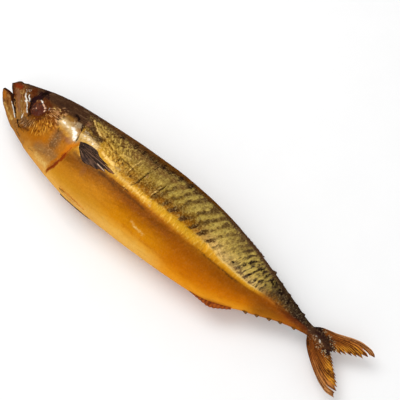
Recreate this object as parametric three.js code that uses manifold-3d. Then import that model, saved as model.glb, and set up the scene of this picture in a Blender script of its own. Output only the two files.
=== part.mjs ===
import * as THREE from "three";
import { mergeVertices } from "three/addons/utils/BufferGeometryUtils.js";
import Module from "manifold-3d";

const wasm = await Module();
wasm.setup();

// A whole smoked mackerel lying on its right side, in millimetres. The first coordinate runs from the
// snout to the tail, the second towards the back, and the third up, through the flanks.

// Body sections: [along, back, belly, half thickness, height of the widest line].
const SECTIONS = [
  [-1.8, 6.3, 5.5, 0.4, 5.9],
  [-0.2, 12.9, 3.8, 1.9, 8.6],
  [2, 15.2, 2.0, 3.0, 9.4],
  [5, 17.6, -0.6, 4.2, 9.2],
  [10, 19.3, -4.5, 5.9, 8.4],
  [20, 21.9, -10.9, 8.9, 7.0],
  [36, 26.0, -18.2, 12.8, 5.4],
  [55, 29.0, -23.9, 16.0, 3.8],
  [78, 30.6, -28.9, 18.4, 2.7],
  [95, 31.5, -31.9, 19.8, 2.0],
  [115, 32.3, -32.9, 20.7, 1.3],
  [143, 32.5, -33.0, 21.0, 0.4],
  [172, 30.6, -32.4, 20.0, -0.4],
  [200, 26.4, -30.7, 17.3, -1.2],
  [213, 23.4, -28.9, 15.4, -1.4],
  [226, 20.0, -24.5, 13.2, -1.4],
  [245, 14.4, -16.2, 9.7, -1.1],
  [268, 7.1, -7.4, 5.8, -0.6],
  [285, 2.7, -3.6, 3.8, -0.5],
  [291, 3.1, -4.7, 3.3, -0.8],
  [298, 2.0, -5.3, 2.2, -1.6],
  [304.5, -2.2, -3.4, 0.4, -2.8],
];
// Height of the mid-plane above the table: [along, height]. The tail droops a little.
const MID_PLANE = [
  [-10, 19.0],
  [0, 19.4],
  [60, 19.9],
  [110, 20.2],
  [190, 20.2],
  [240, 17.8],
  [285, 14.2],
  [335, 13.0],
];
const BACK_POWER = 2.0;
const BELLY_POWER = 2.1;

// How finely the body is faceted.
const POINTS_AROUND = 44;
const STATION_RUNS = [
  { from: -1.8, to: 4.5, steps: 6 },
  { from: 4.5, to: 86, steps: 34 },
  { from: 86, to: 285, steps: 28 },
  { from: 285, to: 304.5, steps: 5 },
];

// Eye, sunk in its socket.
const EYE = { along: 36.5, height: 6.5, radius: 6.6, depth: 1.3 };
// Rear edge of the gill cover, as [height, along], with its raised lip and the groove behind it.
const GILL_EDGE = [
  [-30, 68],
  [-20, 76.7],
  [-7, 79.2],
  [7, 76.5],
  [20, 71.7],
  [27, 67],
];
const GILL_LIP = { rise: 0.7, reach: 12 };
const GILL_GROOVE = { depth: 0.9, reach: 3.5 };

// The gape: a slot between the jaws, open at the tip and closing at the mouth's corner.
const GAPE = [
  [-6, 17],
  [-0.3, 12.9],
  [2.4, 10.1],
  [6.3, 6.9],
  [12.0, 2.7],
  [18.0, -2.0],
  [26.5, -8.5],
  [22.0, -6.4],
  [16.0, -1.7],
  [11.0, 1.7],
  [6.8, 5.2],
  [0.0, 6.3],
  [-6, 6.5],
];

// Tail lobes: outline points of the leading edge, the row of ray tips, and the inner ray.
const TAIL_ROOT = [290, -0.6];
const TAIL_FORK = [305.8, -3.2];
const UPPER_LOBE = {
  lead: [[285, 2.2], [290.6, 6], [300, 8.5], [311, 13.1], [319, 15], [325, 14.4], [329.5, 12.1]],
  tips: [[329.5, 12.1], [325.8, 9.3], [320, 4.9], [313.6, 0.8], TAIL_FORK],
};
const LOWER_LOBE = {
  lead: [[285, -3.2], [289, -8.4], [297, -16], [305, -21.8], [312, -25.1], [318.5, -26.9], [324.2, -26.4]],
  tips: [[324.2, -26.4], [322.2, -21.2], [318, -15.7], [312.6, -10.2], TAIL_FORK],
};
const LOBE = { rays: 11, rows: 6, notch: 0.07, rootHalf: 1.1, tipHalf: 0.35 };

// Finlets: the tips along the back and along the belly.
const FINLETS = [
  [244.4, 17.3], [252.6, 13.7], [261.4, 10.8], [269.5, 8.1], [276.8, 6.1],
  [245.8, -19.1], [253.0, -16.1], [260.8, -12.8], [267.9, -9.8], [277.2, -7.0],
];
const FINLET = { root: 7.0, sunk: 1.2, half: 0.45 };

// Fins that stand in the mid-plane: the root line, sunk in the body, and the free edge.
const MID_FINS = [
  { root: [[84, 29.5], [105, 31], [128, 31.5]], edge: [[84, 31.2], [105, 32.9], [129, 33.1]], half: 0.9 },
  { root: [[198, 25], [213, 22], [228, 18]], edge: [[198, 26.8], [213, 24.3], [230.5, 20.3]], half: 0.8 },
  { root: [[207, -28], [221, -25], [234, -19.5]], edge: [[208, -30.3], [216, -30.8], [224.4, -30.9], [225.4, -30.2], [229.2, -26.6], [234.8, -21.6]], half: 0.6 },
];

// Fins folded against the flanks: the root's two ends, the outer edge from one to the other.
const SIDE_FINS = [
  { root: [[81.5, 1.5], [84, -3.5]], edge: [[88, 3.9], [97, 2.6], [106, -0.2], [115.4, -3.3], [107, -7.6], [99.5, -9.2], [92, -8.6]] },
  { root: [[88, -29.0], [90, -30.4]], edge: [[97, -28.9], [106, -29.4], [114, -30.4], [118, -31.6], [112, -31.9], [104, -31.7], [96, -31.2]] },
];
const SIDE_FIN = { lift: 0.9, sunk: 0.9, columns: 12, rows: 4 };

// The value at x of a smooth curve through hand-picked [x, y] points that never overshoots them.
function curveThrough(points) {
  const slopes = points.slice(1).map(([x, y], i) => (y - points[i][1]) / (x - points[i][0]));
  const tangents = points.map((_, i) => {
    if (i === 0) return slopes[0];
    if (i === points.length - 1) return slopes[i - 1];
    const before = slopes[i - 1];
    const after = slopes[i];
    if (before * after <= 0) return 0;
    const left = points[i][0] - points[i - 1][0];
    const right = points[i + 1][0] - points[i][0];
    return (3 * (left + right)) / ((2 * right + left) / before + (right + 2 * left) / after);
  });
  return (x) => {
    const last = points.length - 2;
    let i = 0;
    while (i < last && x > points[i + 1][0]) i += 1;
    const width = points[i + 1][0] - points[i][0];
    const t = Math.min(1, Math.max(0, (x - points[i][0]) / width));
    const rise = t * t * (3 - 2 * t);
    const near = t * (1 - t) * (1 - t) * tangents[i];
    const far = t * t * (t - 1) * tangents[i + 1];
    return points[i][1] * (1 - rise) + points[i + 1][1] * rise + width * (near + far);
  };
}

const column = (k) => curveThrough(SECTIONS.map((row) => [row[0], row[k]]));
const back = column(1);
const belly = column(2);
const halfThickness = column(3);
const widest = column(4);
const midPlane = curveThrough(MID_PLANE);
const gillEdge = curveThrough(GILL_EDGE);

// Raised and sunk detail of the head's sides, measured outwards.
function relief(along, height) {
  const fromEye = Math.hypot(along - EYE.along, height - EYE.height) / EYE.radius;
  const socket = -EYE.depth * Math.exp(-(fromEye ** 4)) + 0.5 * Math.exp(-((fromEye / 0.6) ** 2));
  const behind = along - gillEdge(height);
  const lip = behind < 0 ? GILL_LIP.rise * Math.exp(behind / GILL_LIP.reach) : 0;
  const groove = behind >= 0 ? -GILL_GROOVE.depth * Math.exp(-behind / GILL_GROOVE.reach) : 0;
  return socket + lip + groove;
}

// A point of the skin at an angle round the section: 0 at the back, a quarter turn at the left flank.
function skin(along, angle, out = 0) {
  const c = Math.cos(angle);
  const s = Math.sin(angle);
  const power = 2 / (c >= 0 ? BACK_POWER : BELLY_POWER);
  const reach = c >= 0 ? back(along) - widest(along) : widest(along) - belly(along);
  const thick = halfThickness(along);
  const height = widest(along) + reach * Math.sign(c) * Math.abs(c) ** power;
  const side = thick * Math.sign(s) * Math.abs(s) ** power;
  const normal = new THREE.Vector2(c / reach, s / thick).normalize();
  const shift = out + relief(along, height) * Math.abs(normal.y);
  return [along, height + shift * normal.x, midPlane(along) + side + shift * normal.y];
}

// The angle at which the left flank stands at a given height.
function flankAngle(along, height) {
  const above = height - widest(along);
  const reach = above >= 0 ? back(along) - widest(along) : widest(along) - belly(along);
  const power = (above >= 0 ? BACK_POWER : BELLY_POWER) / 2;
  const share = Math.min(1, Math.abs(above) / reach);
  return Math.acos(Math.sign(above) * share ** power);
}

function geometryFrom(points, faces) {
  const geometry = new THREE.BufferGeometry();
  geometry.setAttribute("position", new THREE.Float32BufferAttribute(points.flat(), 3));
  geometry.setIndex(faces);
  return geometry;
}

// A closed tube through rings of equal length, its ends closed by fans round their centres.
function tube(rings) {
  const size = rings[0].length;
  const points = rings.flat();
  const faces = [];
  for (let r = 0; r + 1 < rings.length; r += 1) {
    for (let k = 0; k < size; k += 1) {
      const a = r * size + k;
      const b = r * size + ((k + 1) % size);
      faces.push(a, a + size, b, b, a + size, b + size);
    }
  }
  const centre = (ring) => [0, 1, 2].map((k) => ring.reduce((sum, p) => sum + p[k], 0) / size);
  const first = points.push(centre(rings[0])) - 1;
  const last = points.push(centre(rings[rings.length - 1])) - 1;
  const base = (rings.length - 1) * size;
  for (let k = 0; k < size; k += 1) {
    const next = (k + 1) % size;
    faces.push(first, k, next, last, base + next, base + k);
  }
  return geometryFrom(points, faces);
}

// A closed thin slab over a grid of columns and rows; place(u, v, side) gives its two faces.
function slab(columns, rows, place) {
  const points = [];
  for (const side of [1, -1]) {
    for (let i = 0; i <= columns; i += 1) {
      for (let j = 0; j <= rows; j += 1) points.push(place(i / columns, j / rows, side));
    }
  }
  const at = (i, j, lower) => (lower ? points.length / 2 : 0) + i * (rows + 1) + j;
  const faces = [];
  const quad = (a, b, c, d) => faces.push(a, b, c, a, c, d);
  for (let i = 0; i < columns; i += 1) {
    for (let j = 0; j < rows; j += 1) {
      quad(at(i, j), at(i + 1, j), at(i + 1, j + 1), at(i, j + 1));
      quad(at(i, j, true), at(i, j + 1, true), at(i + 1, j + 1, true), at(i + 1, j, true));
    }
    quad(at(i, 0), at(i, 0, true), at(i + 1, 0, true), at(i + 1, 0));
    quad(at(i, rows), at(i + 1, rows), at(i + 1, rows, true), at(i, rows, true));
  }
  for (let j = 0; j < rows; j += 1) {
    quad(at(0, j), at(0, j + 1), at(0, j + 1, true), at(0, j, true));
    quad(at(columns, j), at(columns, j, true), at(columns, j + 1, true), at(columns, j + 1));
  }
  return geometryFrom(points, faces);
}

// A manifold solid of a geometry, whichever way its faces were wound.
function solid(geometry) {
  const bare = geometry.clone();
  bare.deleteAttribute("normal");
  bare.deleteAttribute("uv");
  const merged = mergeVertices(bare, 1e-4);
  const triVerts = new Uint32Array(merged.index.array);
  const make = () => new wasm.Manifold(
    new wasm.Mesh({ numProp: 3, vertProperties: merged.attributes.position.array, triVerts }),
  );
  const made = make();
  if (made.volume() > 0) return made;
  for (let i = 0; i < triVerts.length; i += 3) triVerts.subarray(i, i + 2).reverse();
  return make();
}

// A smooth curve in the plane through [x, y] points, as a function of a share from 0 to 1.
function planeCurve(points) {
  const curve = new THREE.CatmullRomCurve3(points.map(([x, y]) => new THREE.Vector3(x, y, 0)), false, "centripetal");
  return (t) => curve.getPoint(t);
}

// A surface between four edges: first and last are functions of v, start and end of u.
function patch(first, last, start, end) {
  return (u, v) => {
    const across = first(v).multiplyScalar(1 - u).add(last(v).multiplyScalar(u));
    const along = start(u).multiplyScalar(1 - v).add(end(u).multiplyScalar(v));
    const low = start(0).multiplyScalar(1 - u).add(start(1).multiplyScalar(u)).multiplyScalar(1 - v);
    const high = end(0).multiplyScalar(1 - u).add(end(1).multiplyScalar(u)).multiplyScalar(v);
    return across.add(along).sub(low).sub(high);
  };
}

function bodySolid() {
  const stations = STATION_RUNS.flatMap(({ from, to, steps }, run) => {
    const whole = Array.from({ length: steps + 1 }, (_, i) => from + ((to - from) * i) / steps);
    return run === 0 ? whole : whole.slice(1);
  });
  const turn = (k) => (2 * Math.PI * k) / POINTS_AROUND;
  const rings = stations.map((along) =>
    Array.from({ length: POINTS_AROUND }, (_, k) => skin(along, turn(k))),
  );
  return solid(tube(rings));
}

function gapeSolid() {
  const outline = new THREE.Shape(GAPE.map(([x, y]) => new THREE.Vector2(x, y)));
  const reach = 60;
  return solid(new THREE.ExtrudeGeometry(outline, { depth: reach, bevelEnabled: false }));
}

// Everything below the table, which presses the underside flat where it rests.
function tableSolid() {
  const [length, width, depth] = [500, 200, 40];
  return solid(new THREE.BoxGeometry(length, width, depth).translate(length / 3, 0, -depth / 2));
}

// A tail lobe: rays fanning from the root to their tips, the skin between them cut back in notches.
function lobeSolid({ lead, tips }) {
  const surface = patch(
    planeCurve(lead),
    planeCurve([TAIL_ROOT, TAIL_FORK]),
    planeCurve([lead[0], TAIL_ROOT]),
    planeCurve(tips),
  );
  const place = (u, v, side) => {
    const betweenRays = Math.abs(Math.sin(Math.PI * u * LOBE.rays));
    const p = surface(u, v * (1 - LOBE.notch * betweenRays));
    const half = LOBE.rootHalf + (LOBE.tipHalf - LOBE.rootHalf) * v;
    return [p.x, p.y, midPlane(p.x) + side * half];
  };
  return solid(slab(2 * LOBE.rays, LOBE.rows, place));
}

function finletSolid([along, height]) {
  const outward = Math.sign(height);
  const edge = outward > 0 ? back : belly;
  const place = (u, v, side) => {
    const x = along - FINLET.root + FINLET.root * u * (0.8 + 0.2 * v);
    const low = edge(x) - outward * FINLET.sunk;
    const y = low + (height - low) * v * u ** 1.2;
    return [x, y, midPlane(x) + side * FINLET.half * (1 - 0.5 * v)];
  };
  return solid(slab(4, 1, place));
}

function midFinSolid({ root, edge, half }) {
  const low = planeCurve(root);
  const high = planeCurve(edge);
  const place = (u, v, side) => {
    const p = low(u).lerp(high(u), v);
    return [p.x, p.y, midPlane(p.x) + side * half * (1 - 0.6 * v)];
  };
  return solid(slab(10, 2, place));
}

// A fin folded flat on a flank: it follows the skin and stands a little proud of it.
function sideFinSolid({ root, edge }, flank) {
  const start = planeCurve(root);
  const rim = planeCurve([root[0], ...edge, root[1]]);
  const place = (u, v, side) => {
    const p = start(u).lerp(rim(u), v);
    const angle = flankAngle(p.x, p.y) * flank;
    const proud = SIDE_FIN.lift * Math.sqrt(Math.max(0, 1 - (2 * u - 1) ** 6)) * (1 - 0.4 * v);
    return skin(p.x, angle, side > 0 ? proud : -SIDE_FIN.sunk);
  };
  return solid(slab(SIDE_FIN.columns, SIDE_FIN.rows, place));
}

const fins = [
  lobeSolid(UPPER_LOBE),
  lobeSolid(LOWER_LOBE),
  ...FINLETS.map(finletSolid),
  ...MID_FINS.map(midFinSolid),
  ...SIDE_FINS.flatMap((fin) => [sideFinSolid(fin, 1), sideFinSolid(fin, -1)]),
];
const joined = fins.reduce((sum, fin) => sum.add(fin), bodySolid().subtract(gapeSolid()));
const whole = joined.subtract(tableSolid());
const mesh = whole.getMesh();
const geometry = new THREE.BufferGeometry();
geometry.setAttribute("position", new THREE.BufferAttribute(mesh.vertProperties, 3));
geometry.setIndex(new THREE.BufferAttribute(mesh.triVerts, 1));
geometry.computeBoundingBox();
const { min, max } = geometry.boundingBox;
geometry.translate(-(min.x + max.x) / 2, -(min.y + max.y) / 2, -min.z);

const fish = new THREE.Mesh(
  geometry,
  new THREE.MeshStandardMaterial({ color: 0xb9772b, roughness: 0.45, metalness: 0.0 }),
);
fish.name = "fish";

const group = new THREE.Group();
group.add(fish);

export default group;
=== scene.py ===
import math

import bpy
import numpy as np
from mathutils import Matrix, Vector


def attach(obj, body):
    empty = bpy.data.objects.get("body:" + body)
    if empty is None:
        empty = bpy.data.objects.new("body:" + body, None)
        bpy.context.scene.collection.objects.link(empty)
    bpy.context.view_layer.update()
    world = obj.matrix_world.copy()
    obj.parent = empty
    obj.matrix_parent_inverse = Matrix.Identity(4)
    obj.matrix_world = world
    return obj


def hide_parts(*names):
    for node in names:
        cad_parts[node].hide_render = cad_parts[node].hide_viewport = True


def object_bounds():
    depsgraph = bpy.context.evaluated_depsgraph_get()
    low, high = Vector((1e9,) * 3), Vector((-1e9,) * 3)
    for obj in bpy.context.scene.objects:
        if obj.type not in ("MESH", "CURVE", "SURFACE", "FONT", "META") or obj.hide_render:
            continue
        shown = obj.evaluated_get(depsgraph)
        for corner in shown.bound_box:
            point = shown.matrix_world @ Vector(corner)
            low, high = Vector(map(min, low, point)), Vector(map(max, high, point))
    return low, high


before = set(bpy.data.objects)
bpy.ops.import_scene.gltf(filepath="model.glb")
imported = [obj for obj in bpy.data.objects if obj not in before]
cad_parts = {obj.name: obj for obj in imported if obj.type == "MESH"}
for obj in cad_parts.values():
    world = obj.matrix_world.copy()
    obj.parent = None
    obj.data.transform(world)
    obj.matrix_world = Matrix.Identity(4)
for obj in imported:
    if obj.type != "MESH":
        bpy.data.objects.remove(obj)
cad_low, cad_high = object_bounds()

# A whole smoked mackerel lying on its right side. Shapes are worked out in millimetres: the first
# coordinate runs from the snout to the tail, the second towards the back, the third up.
MM = 0.001
# The lower jaw's tip and the top of the first back fin, which meet the sides of the solid's box.
FIRST_ALONG = -1.8
HIGHEST_BACK = 33.1

# ---------------------------------------------------------------- body measures

# Body sections: along, back, belly, half thickness, height of the widest line.
SECTIONS = [
    [-1.8, 6.3, 5.5, 0.4, 5.9],
    [-0.2, 12.9, 3.8, 1.9, 8.6],
    [2, 15.2, 2.0, 3.0, 9.4],
    [5, 17.6, -0.6, 4.2, 9.2],
    [10, 19.3, -4.5, 5.9, 8.4],
    [20, 21.9, -10.9, 8.9, 7.0],
    [36, 26.0, -18.2, 12.8, 5.4],
    [55, 29.0, -23.9, 16.0, 3.8],
    [78, 30.6, -28.9, 18.4, 2.7],
    [95, 31.5, -31.9, 19.8, 2.0],
    [115, 32.3, -32.9, 20.7, 1.3],
    [143, 32.5, -33.0, 21.0, 0.4],
    [172, 30.6, -32.4, 20.0, -0.4],
    [200, 26.4, -30.7, 17.3, -1.2],
    [213, 23.4, -28.9, 15.4, -1.4],
    [226, 20.0, -24.5, 13.2, -1.4],
    [245, 14.4, -16.2, 9.7, -1.1],
    [268, 7.1, -7.4, 5.8, -0.6],
    [285, 2.7, -3.6, 3.8, -0.5],
    [291, 3.1, -4.7, 3.3, -0.8],
    [298, 2.0, -5.3, 2.2, -1.6],
    [304.5, -2.2, -3.4, 0.4, -2.8],
]
# How high the fish's middle plane lies above the table.
MID_PLANE = [
    [-10, 19.0], [0, 19.4], [60, 19.9], [110, 20.2], [190, 20.2], [240, 17.8], [285, 14.2], [335, 13.0],
]
# How far the fine skin stands outside these sections at the back and at the belly.
BACK_FULLNESS = [
    [0, -0.7], [2, -0.5], [4.6, 0.5], [8.8, -0.4], [12, 0.2], [28, 0.7], [45, 0.9], [250, 0.9], [278, 0.7],
    [290, 0.2], [304, 0],
]
BELLY_FULLNESS = [
    [-1.8, 1.0], [2, 1.8], [6, 2.1], [12, 1.5], [18, 1.35], [24, 1.4], [30, 1.0], [45, 0.7], [60, 0.5],
    [75, 0.8], [90, 0.5], [120, 0.35], [200, 0.6], [212, 1.2], [222, 1.6], [232, 1.5], [240, 1.2],
    [248, 1.6], [256, 1.4], [268, 0.8], [280, 0.8], [292, 0.3], [304, 0],
]
# The powers of the section's superellipse in its upper and its lower half.
BACK_POWER = 2.0
BELLY_POWER = 2.1
EYE = {"along": 37.2, "height": 4.6, "radius": 7.0, "dome": 6.16}
# Rear edge of the gill cover, as height and place along.
GILL_EDGE = [[-30, 68], [-20, 76.7], [-7, 79.2], [7, 76.5], [20, 71.7], [27, 67]]
# Lower edge of the upper jaw and, past the mouth's corner, of the cheek over the lower jaw.
LIP_LINE = [
    [0, 12.7], [1, 12.2], [4.7, 8.7], [9.4, 5.1], [12.7, 2.5], [17, -0.9], [20.9, -4.1], [26.4, -8.5],
    [31.5, -12.4], [35.4, -15.4], [38.7, -17.6], [43, -19.8], [50, -23],
]
# Upper edge of the lower jaw, which runs on under the cheek.
JAW_RIM = [
    [-1.8, 6.2], [0, 6.2], [4, 5.9], [7, 5.5], [9.4, 4.8], [12.7, 2.2], [17, -1.2], [20.9, -4.4],
    [26.4, -8.7], [31.5, -11.6], [38, -15.6], [44, -19],
]
# Where the head's skin starts and where the lower jaw ends, hidden under the cheek.
HEAD_START = 0.2
JAW_END = 44
# How far the lower jaw's tip is drawn back.
JAW_SETBACK = 0.1
# How far under the lower jaw's rim the lip starts.
JAW_SHELF = [[0, 1.4], [10, 2.1], [15, 1.6], [20, 0.9], [26, 0.6]]
# The power of the sine by which the roof and the floor of the mouth are arched.
ARCH_POWER = 0.7


def curve_through(points):
    """A smooth curve through [x, y] points that never overshoots them.

    The slope at an inner point is the weighted harmonic mean of the chords beside it, or zero where
    they change sign. Each span is the cubic that has those slopes at its ends.
    """
    xs, ys = np.array(points, float).T
    steps = np.diff(xs)
    chords = np.diff(ys) / steps
    left, right = steps[:-1], steps[1:]
    before, after = chords[:-1], chords[1:]
    same = before * after > 0
    weight = (2 * right + left) / np.where(same, before, 1) + (right + 2 * left) / np.where(same, after, 1)
    inner = np.where(same, 3 * (left + right) / np.where(same, weight, 1), 0)
    slopes = np.concatenate([chords[:1], inner, chords[-1:]])

    def value(x):
        i = np.clip(np.searchsorted(xs, x) - 1, 0, len(steps) - 1)
        t = np.clip((x - xs[i]) / steps[i], 0, 1)
        rise = t * t * (3 - 2 * t)
        near = t * (1 - t) ** 2 * slopes[i]
        far = t * t * (t - 1) * slopes[i + 1]
        return ys[i] * (1 - rise) + ys[i + 1] * rise + steps[i] * (near + far)

    return value


def line_through(points):
    """A smooth line in the plane: each coordinate is a curve through the points over the share of length."""
    places = np.array(points, float)
    reach = np.concatenate([[0], np.cumsum(np.hypot(*np.diff(places, axis=0).T))])
    share = reach / reach[-1]
    across = curve_through(np.stack([share, places[:, 0]], -1))
    upward = curve_through(np.stack([share, places[:, 1]], -1))
    return lambda t: np.stack([across(np.asarray(t)), upward(np.asarray(t))], -1)


def smooth_step(low, high, value):
    """Zero below low, one above high, and the cubic 3t2 - 2t3 between them."""
    t = np.clip((value - low) / (high - low), 0, 1)
    return t * t * (3 - 2 * t)


def cosine_share(share):
    """A share from 0 to 1 that starts and ends gently: half of one less the cosine."""
    return (1 - np.cos(math.pi * share)) / 2


def section_curve(k):
    """The curve along the fish through one column of the sections."""
    return curve_through([[row[0], row[k]] for row in SECTIONS])


back = section_curve(1)
belly = section_curve(2)
half_thickness = section_curve(3)
widest = section_curve(4)
mid_plane = curve_through(MID_PLANE)
back_fullness = curve_through(BACK_FULLNESS)
belly_fullness = curve_through(BELLY_FULLNESS)
gill_edge = curve_through(GILL_EDGE)
lip_line = curve_through(LIP_LINE)
jaw_rim = curve_through(JAW_RIM)
jaw_shelf = curve_through(JAW_SHELF)


def section_parts(along, angle):
    """Height, side and outward normal of a body section at an angle, zero at the back.

    The section is a superellipse: its cosine and sine are raised to two over the power of that half,
    and scaled by the reach from the widest line and by the half thickness.
    """
    c, s = np.cos(angle), np.sin(angle)
    power = 2 / np.where(c >= 0, BACK_POWER, BELLY_POWER)
    middle, thick = widest(along), half_thickness(along)
    reach = np.where(c >= 0, back(along) - middle, middle - belly(along))
    height = middle + reach * np.sign(c) * np.abs(c) ** power
    side = thick * np.sign(s) * np.abs(s) ** power
    length = np.hypot(c / reach, s / thick)
    return height, side, c / reach / length, s / thick / length


def fullness(along, normal_height):
    """How far the skin stands outside a plain section: the back's curve times how far the section faces
    the back there, or the belly's curve times how far it faces the belly."""
    to_back = np.maximum(normal_height, 0)
    to_belly = np.maximum(-normal_height, 0)
    return back_fullness(along) * to_back + belly_fullness(along) * to_belly


def skin(along, angle, out=0.0):
    """A point of the skin moved out along its section's normal, and kept above the table."""
    height, side, normal_height, normal_side = section_parts(along, angle)
    out = out + fullness(along, normal_height)
    up = mid_plane(along) + side + out * normal_side
    return np.stack([np.broadcast_to(along, up.shape), height + out * normal_height, np.maximum(up, 0)], -1)


def flank_angle(along, height):
    """The angle at which a flank stands at a height: the inverse of the section's height."""
    above = height - widest(along)
    reach = np.where(above >= 0, back(along) - widest(along), widest(along) - belly(along))
    power = np.where(above >= 0, BACK_POWER, BELLY_POWER) / 2
    share = np.clip(np.abs(above) / reach, 0, 1)
    return np.arccos(np.sign(above) * share ** power)


# ---------------------------------------------------------------- marks on the flank

def distance_to(along, height, points):
    """Distance from each place on the flank to the line of straight spans through points."""
    place = np.stack([along, height], -1)
    ends = np.array(points, float)
    nearest = np.full(along.shape, np.inf)
    for start, end in zip(ends[:-1], ends[1:]):
        span = end - start
        share = np.clip(((place - start) @ span) / (span @ span), 0, 1)
        gap = place - start - share[..., None] * span
        nearest = np.minimum(nearest, np.hypot(gap[..., 0], gap[..., 1]))
    return nearest


def stroke(along, height, points, width):
    """A soft line: exp of minus the square of distance over width."""
    return np.exp(-(distance_to(along, height, points) / width) ** 2)


def blot(along, height, centre, radii, tilt=0.0):
    """A soft oval: exp of minus the fourth power of the distance in radii, turned by tilt degrees."""
    turn = math.radians(tilt)
    right, up = along - centre[0], height - centre[1]
    first = (right * math.cos(turn) + up * math.sin(turn)) / radii[0]
    second = (up * math.cos(turn) - right * math.sin(turn)) / radii[1]
    return np.exp(-np.hypot(first, second) ** 4)


def ripples(along, height, size, seed):
    """Gentle random waves between about -1 and 1: a quarter of the sum of nine sines in random directions."""
    random = np.random.default_rng(seed)
    total = 0.0
    for _ in range(9):
        direction, phase = random.uniform(0, 2 * math.pi, 2)
        pace = 2 * math.pi / size * random.uniform(0.6, 1.6)
        total = total + np.sin(pace * (along * math.cos(direction) + height * math.sin(direction)) + phase)
    return total / 4


# Lines on the skin, as places along and height.
JAW_PLATE_RIDGE = [
    (16.4, 13), (18.2, 10), (20.4, 8), (22.6, 6.2), (25, 4.2), (28.2, 2), (30.6, -0.6), (32.4, -2.6),
    (34.4, -9),
]
SECOND_RIDGE = [(19.6, 12.6), (22.4, 9.8), (24.6, 7.6), (26.6, 6), (31, 1.4)]
THIRD_RIDGE = [(24.6, 2.4), (27.4, -0.6), (30.4, -4.2), (31.4, -7.5)]
RIDGE_GROOVE = [(24.6, 10.4), (27.4, 7.4), (30.2, 3.6), (33, -0.2), (35, -4.2), (36.6, -8)]
SNOUT_NOTCH = [(7.2, 18.4), (8.2, 16.6), (9, 14.6)]
COVER_SEAM = [(46.6, -18.5), (50, -20.6), (56, -22.3), (62, -21.4), (65, -19.5)]
SHOULDER_EDGE = [(60, 22.4), (66.8, 23.4), (71.2, 23.4), (76, 21.2), (80.4, 18), (85, 15.7), (90, 14)]
LATERAL_LINE = [
    (86, 13.2), (90, 12.5), (95, 13), (100, 12), (105, 10.6), (112, 9.6), (118, 8.6), (128, 7.4), (150, 5),
]
CRACKS = [
    [(126.2, 16.4), (126.2, 11), (125.3, 3)],
    [(136.6, 22), (136, 16), (135.4, 12), (134.6, 8), (134, 2), (132.4, -2.4)],
    [(151.8, 18), (150.6, 12), (149.6, 7), (149, 2), (148.5, -2.2)],
]
PLEATS = [[(at - 0.4, -1.4 - deep), (at + 0.1, -1.6 - deep / 2), (at + 0.3, -1.4)] for at, deep in (
    (130.6, 7), (133, 5), (136, 6.4), (139.2, 6), (141.8, 4.4), (144.6, 5.6))]


def from_eye(along, height):
    """Distance to the middle of the eye."""
    return np.hypot(along - EYE["along"], height - EYE["height"])


def wrinkled(along, height):
    """How strongly the cheek is wrinkled behind and below the eye.

    A ring about the eye, cut off at its ends and below, times waves that make it patchy.
    """
    reach = from_eye(along, height)
    around = np.degrees(np.arctan2(height - EYE["height"], along - EYE["along"]))
    ring = smooth_step(6.6, 9, reach) * smooth_step(25, 19, reach)
    ends = smooth_step(-84, -66, around) * smooth_step(48, 26, around)
    patchy = np.clip(0.85 + 0.5 * ripples(along, height, 5, seed=32), 0.2, 1.1)
    return ring * ends * patchy * smooth_step(-15, -11, height)


def chin_creases(along, height):
    """How creased the skin is at the mouth's corner: a leaning oval."""
    return blot(along, height, (36.4, -9.4), (8.4, 3.4), 22)


def head_relief(along, height):
    """Raised and sunk detail of the head in millimetres: a sum of soft lines and ovals."""
    radii = from_eye(along, height) / EYE["radius"]
    socket = -1.2 * np.exp(-(radii ** 4)) + 0.15 * np.exp(-((radii - 1.14) / 0.16) ** 2)
    brow = 0.7 * stroke(along, height, [(27, 16), (33, 18), (40, 16.4), (46, 12.5)], 3.0)
    lip = 0.3 * np.exp(-((height - lip_line(along) - 1.1) / 1.0) ** 2) * (along < 27)
    plate = 0.45 * smooth_step(1.8, -1.6, signed_side(along, height, JAW_PLATE_RIDGE)) * (along < 38)
    ridges = sum(size * stroke(along, height, line, 0.8) for line, size in (
        (JAW_PLATE_RIDGE, 0.4), (SECOND_RIDGE, 0.3), (THIRD_RIDGE, 0.25)))
    grooves = -0.6 * stroke(along, height, RIDGE_GROOVE, 1.1) - 0.4 * stroke(along, height, SNOUT_NOTCH, 1.1)
    seam = -0.3 * stroke(along, height, COVER_SEAM, 1.1)
    lumps = wrinkled(along, height) + chin_creases(along, height)
    wrinkles = 0.14 * lumps * ripples(along, height, 2.6, seed=34)
    dents = 0.1 * ripples(along, height, 7, seed=4) + 0.05 * ripples(along, height, 3, seed=6)
    return socket + brow + lip + plate + ridges + grooves + seam + wrinkles + dents


def signed_side(along, height, points):
    """Distance to a line, negative on its left when walking from its first point to its last."""
    ends = np.array(points, float)
    chord = ends[-1] - ends[0]
    side = chord[0] * (height - ends[0, 1]) - chord[1] * (along - ends[0, 0])
    return distance_to(along, height, points) * np.where(side > 0, 1.0, -1.0)


def flank_pleats(along, height):
    """Waves between -1 and 1 down the front of the flank, where the skin is finely pleated."""
    area = blot(along, height, (126, 4), (26, 13))
    shift = ripples(along, height, 14, seed=5) + 0.5 * ripples(along, height, 4, seed=7)
    broken = np.clip(0.5 + 0.8 * ripples(along, height, 5, seed=13), 0, 1.2)
    return np.sin(2 * math.pi * (along + 0.12 * height + shift) / 2.3) * area * broken


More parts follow.
